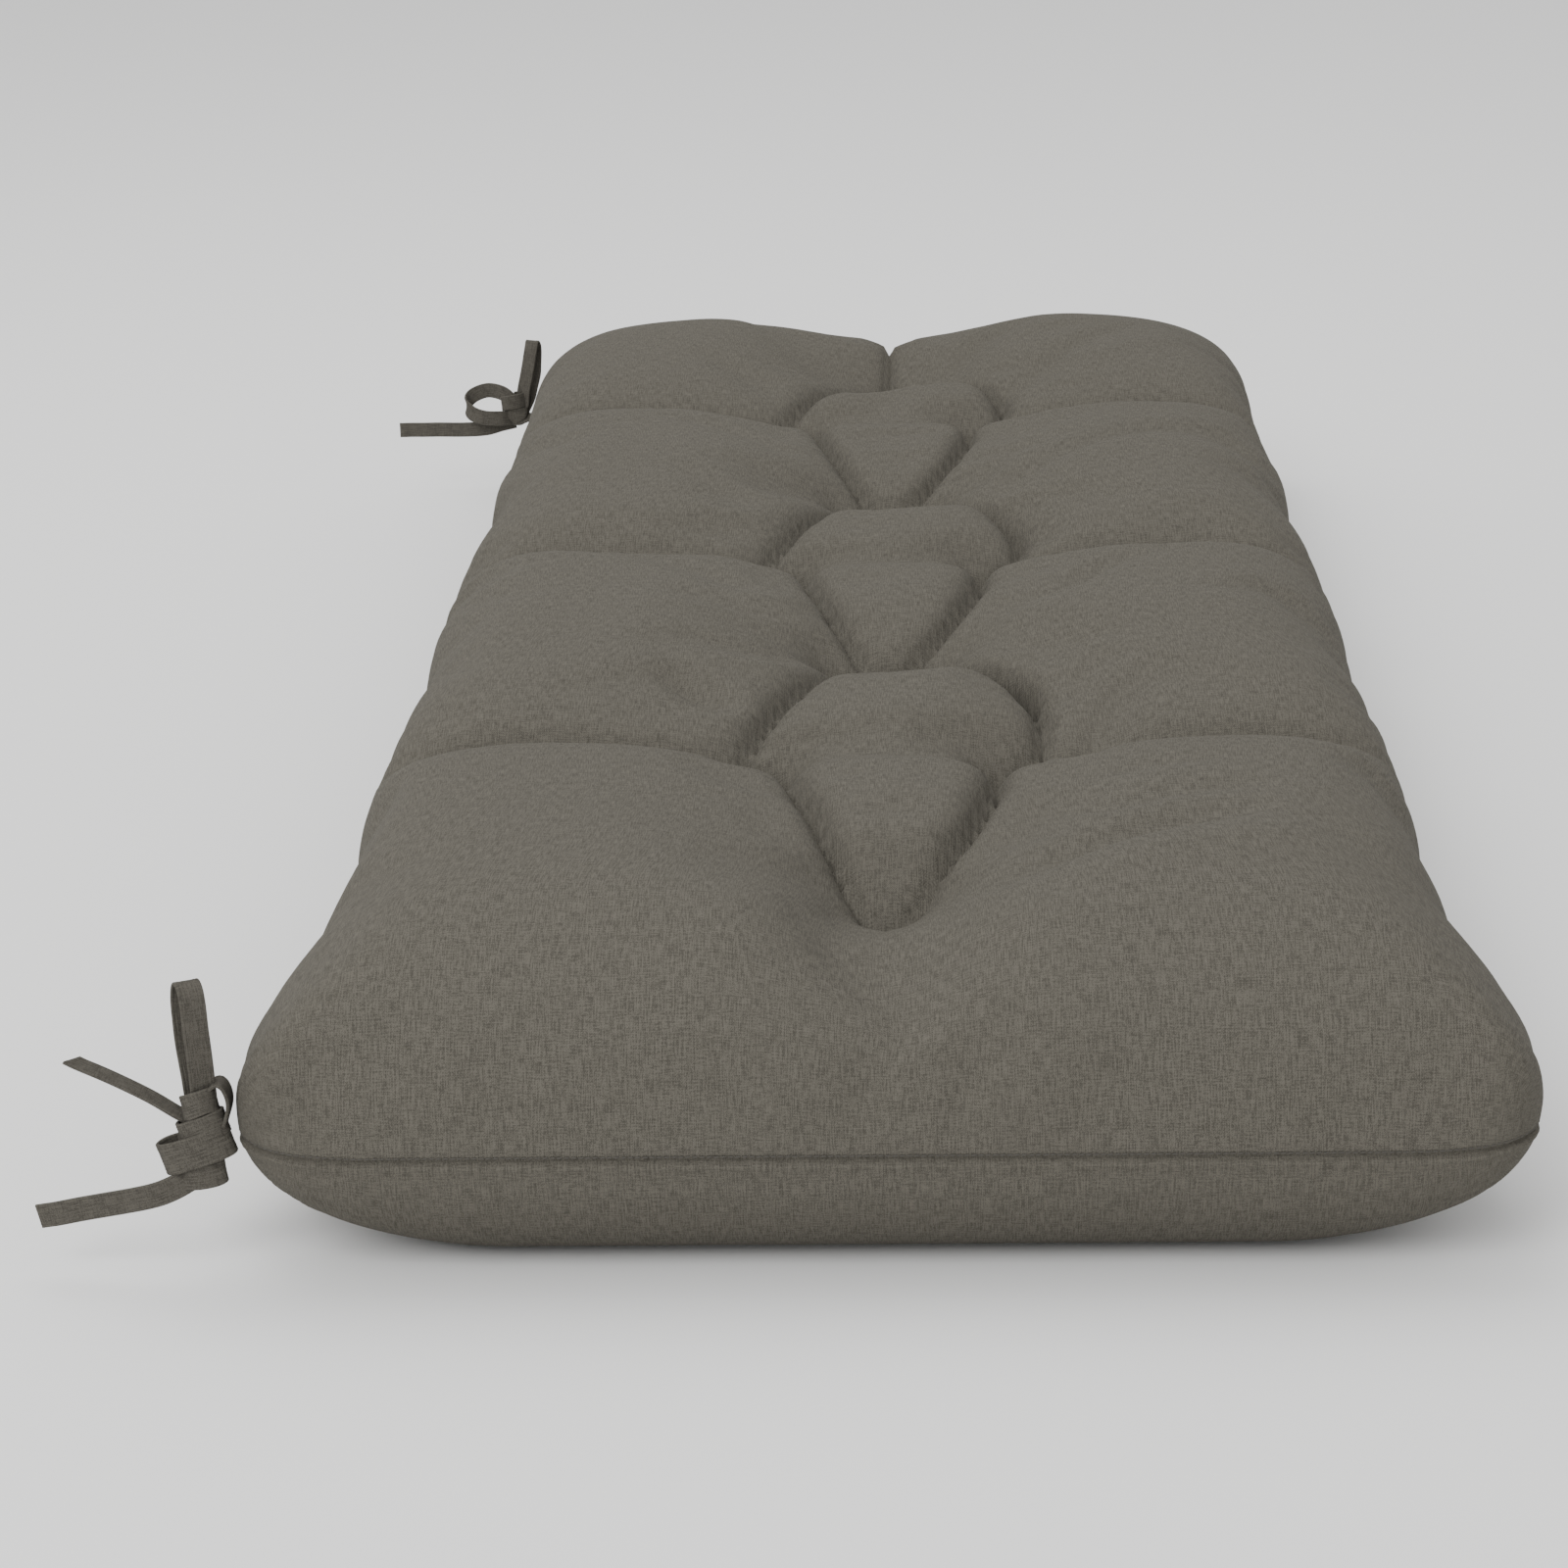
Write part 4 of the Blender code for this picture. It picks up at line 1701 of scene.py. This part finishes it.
    def core(self) -> tuple[np.ndarray, np.ndarray, np.ndarray]:
        """Shapes the pleated lump that the runs go into.

        Returns:
            The points in (out, back, up), the faces, and the flat places.
        """
        rows, columns = self.lump_grid
        rise = np.linspace(-math.pi / 2, math.pi / 2, rows)
        rise[[0, -1]] *= 1 - self.pole_gap
        turn = np.linspace(0.0, 2 * math.pi, columns, endpoint=False)
        rise, turn = np.meshgrid(rise, turn, indexing="ij")
        pleat = np.sin(self.pleats * turn + self.pleat_twist * rise)
        pleat = 1 + self.pleat_depth * pleat * np.cos(rise)
        shape = np.stack(
            [np.cos(rise) * np.cos(turn), np.cos(rise) * np.sin(turn), np.sin(rise)],
            axis=-1,
        )
        squared = np.sign(shape) * np.abs(shape) ** self.lump_squareness
        shape = squared * pleat[..., None]
        half = np.array(self.lump.half_size) * MILLIMETRE
        points = np.array(self.lump.middle) * MILLIMETRE + shape * half
        flat = np.stack([turn, rise], axis=-1) * half.max()
        closing = flat[:, :1] + np.array([2 * math.pi * half.max(), 0.0])
        flat = np.concatenate([flat, closing], axis=1)
        faces = quad_numbers(ring_numbers(rows, columns))
        return points.reshape(-1, 3), faces, quads_of(flat)

    def build(self, finish: Weave) -> bpy.types.Object:
        """Builds the tie as one piece.

        Args:
            finish: The cloth that the strap is folded from.

        Returns:
            The tie's object.
        """
        parts = [self.core()]
        sides = len(self.profile())
        for run in self.runs:
            points, faces, flats = self.ribbon(run)
            caps, cap_flats = self.end_caps(points, sides)
            faces = np.concatenate([faces, caps])
            parts.append((points, faces, np.concatenate([flats, cap_flats])))
        all_points, all_faces, all_flats = zip(*parts)
        starts = np.cumsum([0] + [len(points) for points in all_points[:-1]])
        local = np.concatenate(all_points)
        faces = np.concatenate([f + start for f, start in zip(all_faces, starts)])
        flats = np.concatenate(all_flats)
        placed = local[:, [1, 0, 2]] + np.array(self.corner)
        piece = mesh_piece(self.name, placed, faces[:, ::-1], flats[:, ::-1])
        piece.data.materials.append(finish.material())
        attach(piece, BODY)
        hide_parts(self.node)
        self.strap_width * self.strap_length
        return piece


def quad_numbers(number: np.ndarray) -> np.ndarray:
    """Returns the four corners of every cell of a numbered grid."""
    corners = (number[:-1, :-1], number[1:, :-1], number[1:, 1:], number[:-1, 1:])
    return np.stack(corners, axis=-1).reshape(-1, 4)


def ring_numbers(rings: int, sides: int) -> np.ndarray:
    """Numbers the points of rings, and ends each with its own first one."""
    number = np.arange(rings * sides).reshape(rings, sides)
    return np.concatenate([number, number[:, :1]], axis=1)


def mesh_piece(
    name: str, points: np.ndarray, faces: np.ndarray, flats: np.ndarray | None = None
) -> bpy.types.Object:
    """Makes a smooth object from arrays.

    Args:
        name: The new object's name.
        points: Its points, one row each.
        faces: The numbers of each face's four points.
        flats: Each face corner's place on the flat cloth.

    Returns:
        The new object.
    """
    data = bpy.data.meshes.new(name)
    data.from_pydata(points.tolist(), [], faces.tolist())
    if flats is not None:
        layer = data.uv_layers.new(name=FLAT_MAP)
        layer.uv.foreach_set("vector", flats.astype(np.float32).ravel())
    data.shade_smooth()
    piece = bpy.data.objects.new(name, data)
    bpy.context.scene.collection.objects.link(piece)
    return piece


@dataclass(frozen=True)
class Softbox:
    """One square light that faces the cushion."""

    name: str
    place: Triple
    size: float
    power: float

    def hang(self) -> None:
        """Adds the light to the scene."""
        light = bpy.data.lights.new(self.name, "AREA")
        light.energy = self.power
        light.size = self.size
        lamp = bpy.data.objects.new(self.name, light)
        lamp.location = self.place
        to_cushion = -Vector(self.place)
        lamp.rotation_euler = to_cushion.to_track_quat("-Z", "Y").to_euler()
        bpy.context.scene.collection.objects.link(lamp)


@dataclass
class Studio:
    """The floor, the soft light and the camera, whose angles are in degrees."""

    camera_place: Triple = (-1.7742, -0.0091, 0.5850)
    pitch: float = 18.52
    yaw: float = 2.02
    roll: float = -1.24
    lens: float = 85.0
    nearest: float = 0.02
    floor_size: float = 60.0
    floor_cells: int = 8
    floor_drop: float = 0.0004
    sky: float = 1.0
    softboxes: tuple[Softbox, ...] = (
        Softbox("overhead", (0.6, 0.5, 2.4), size=2.0, power=30.0),
        Softbox("front_left", (-2.4, 1.2, 2.0), size=1.5, power=48.0),
    )

    def build(self) -> None:
        """Builds the whole studio."""
        self.lay_floor()
        self.light_up()
        self.place_camera()

    def lay_floor(self) -> None:
        """Lays the plain pale floor."""
        mesh = bmesh.new()
        bmesh.ops.create_grid(
            mesh,
            x_segments=self.floor_cells,
            y_segments=self.floor_cells,
            size=self.floor_size / 2,
        )
        data = bpy.data.meshes.new("floor")
        mesh.to_mesh(data)
        mesh.free()
        data.materials.append(Backdrop().material())
        floor = bpy.data.objects.new("floor", data)
        floor.location.z = -self.floor_drop
        bpy.context.scene.collection.objects.link(floor)

    def light_up(self) -> None:
        """Sets the even sky and hangs the softboxes."""
        world = bpy.data.worlds.new("studio_sky")
        world.use_nodes = True
        background = world.node_tree.nodes["Background"]
        background.inputs["Color"].default_value = (1.0, 1.0, 1.0, 1.0)
        background.inputs["Strength"].default_value = self.sky
        bpy.context.scene.world = world
        for softbox in self.softboxes:
            softbox.hang()

    def place_camera(self) -> None:
        """Places the camera in front of one end, looking along the cushion."""
        pitch, yaw, roll = (
            math.radians(angle) for angle in (self.pitch, self.yaw, self.roll)
        )
        ahead = Vector(
            (
                math.cos(pitch) * math.cos(yaw),
                math.cos(pitch) * math.sin(yaw),
                -math.sin(pitch),
            )
        )
        level = ahead.cross(Vector((0.0, 0.0, 1.0))).normalized()
        above = level.cross(ahead)
        right = math.cos(roll) * level + math.sin(roll) * above
        up = math.cos(roll) * above - math.sin(roll) * level
        data = bpy.data.cameras.new("camera")
        data.lens = self.lens
        data.clip_start = self.nearest
        camera = bpy.data.objects.new("camera", data)
        turned = Matrix((right, up, -ahead)).transposed().to_4x4()
        camera.matrix_world = Matrix.Translation(self.camera_place) @ turned
        bpy.context.scene.collection.objects.link(camera)
        bpy.context.scene.camera = camera


def report(piece: bpy.types.Object) -> None:
    """Logs a finished piece."""
    LOG.info("%s: %d faces", piece.name, len(piece.data.polygons))


CLOTH = Weave(
    "cushion_weave",
    dark=(0.060, 0.0557, 0.0460),
    light=(0.117, 0.1085, 0.0905),
)
STRAP = Weave(
    "strap_weave",
    dark=(0.050, 0.0460, 0.0390),
    light=(0.096, 0.0890, 0.0750),
)
THREAD = Thread("seam_thread", colour=(0.048, 0.044, 0.037))


def main() -> None:
    """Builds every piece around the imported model."""
    logging.basicConfig(level=logging.INFO, format="%(message)s")
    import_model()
    low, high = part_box("cushion")
    cushion = Cushion(length=high[0] - low[0], width=CUSHION_WIDTH)
    report(cushion.build(CLOTH))
    report(SeamStitches(cushion).build(THREAD))
    along = cushion.length / 2 - TIE_INSET
    out = cushion.width / 2 + TIE_GAP
    near, far = (-along, out, cushion.seam_height), (along, out, cushion.seam_height)
    near_tie = Tie(
        "near_bow", "near_tie", near, NEAR_LUMP, NEAR_RUNS, NEAR_STRAP_LENGTH
    )
    report(near_tie.build(STRAP))
    far_tie = Tie("far_bow", "far_tie", far, FAR_LUMP, FAR_RUNS, FAR_STRAP_LENGTH)
    report(far_tie.build(STRAP))
    studio = Studio()
    studio.build()
    LOG.info("studio: %d softboxes", len(studio.softboxes))


if __name__ == "__main__":
    main()
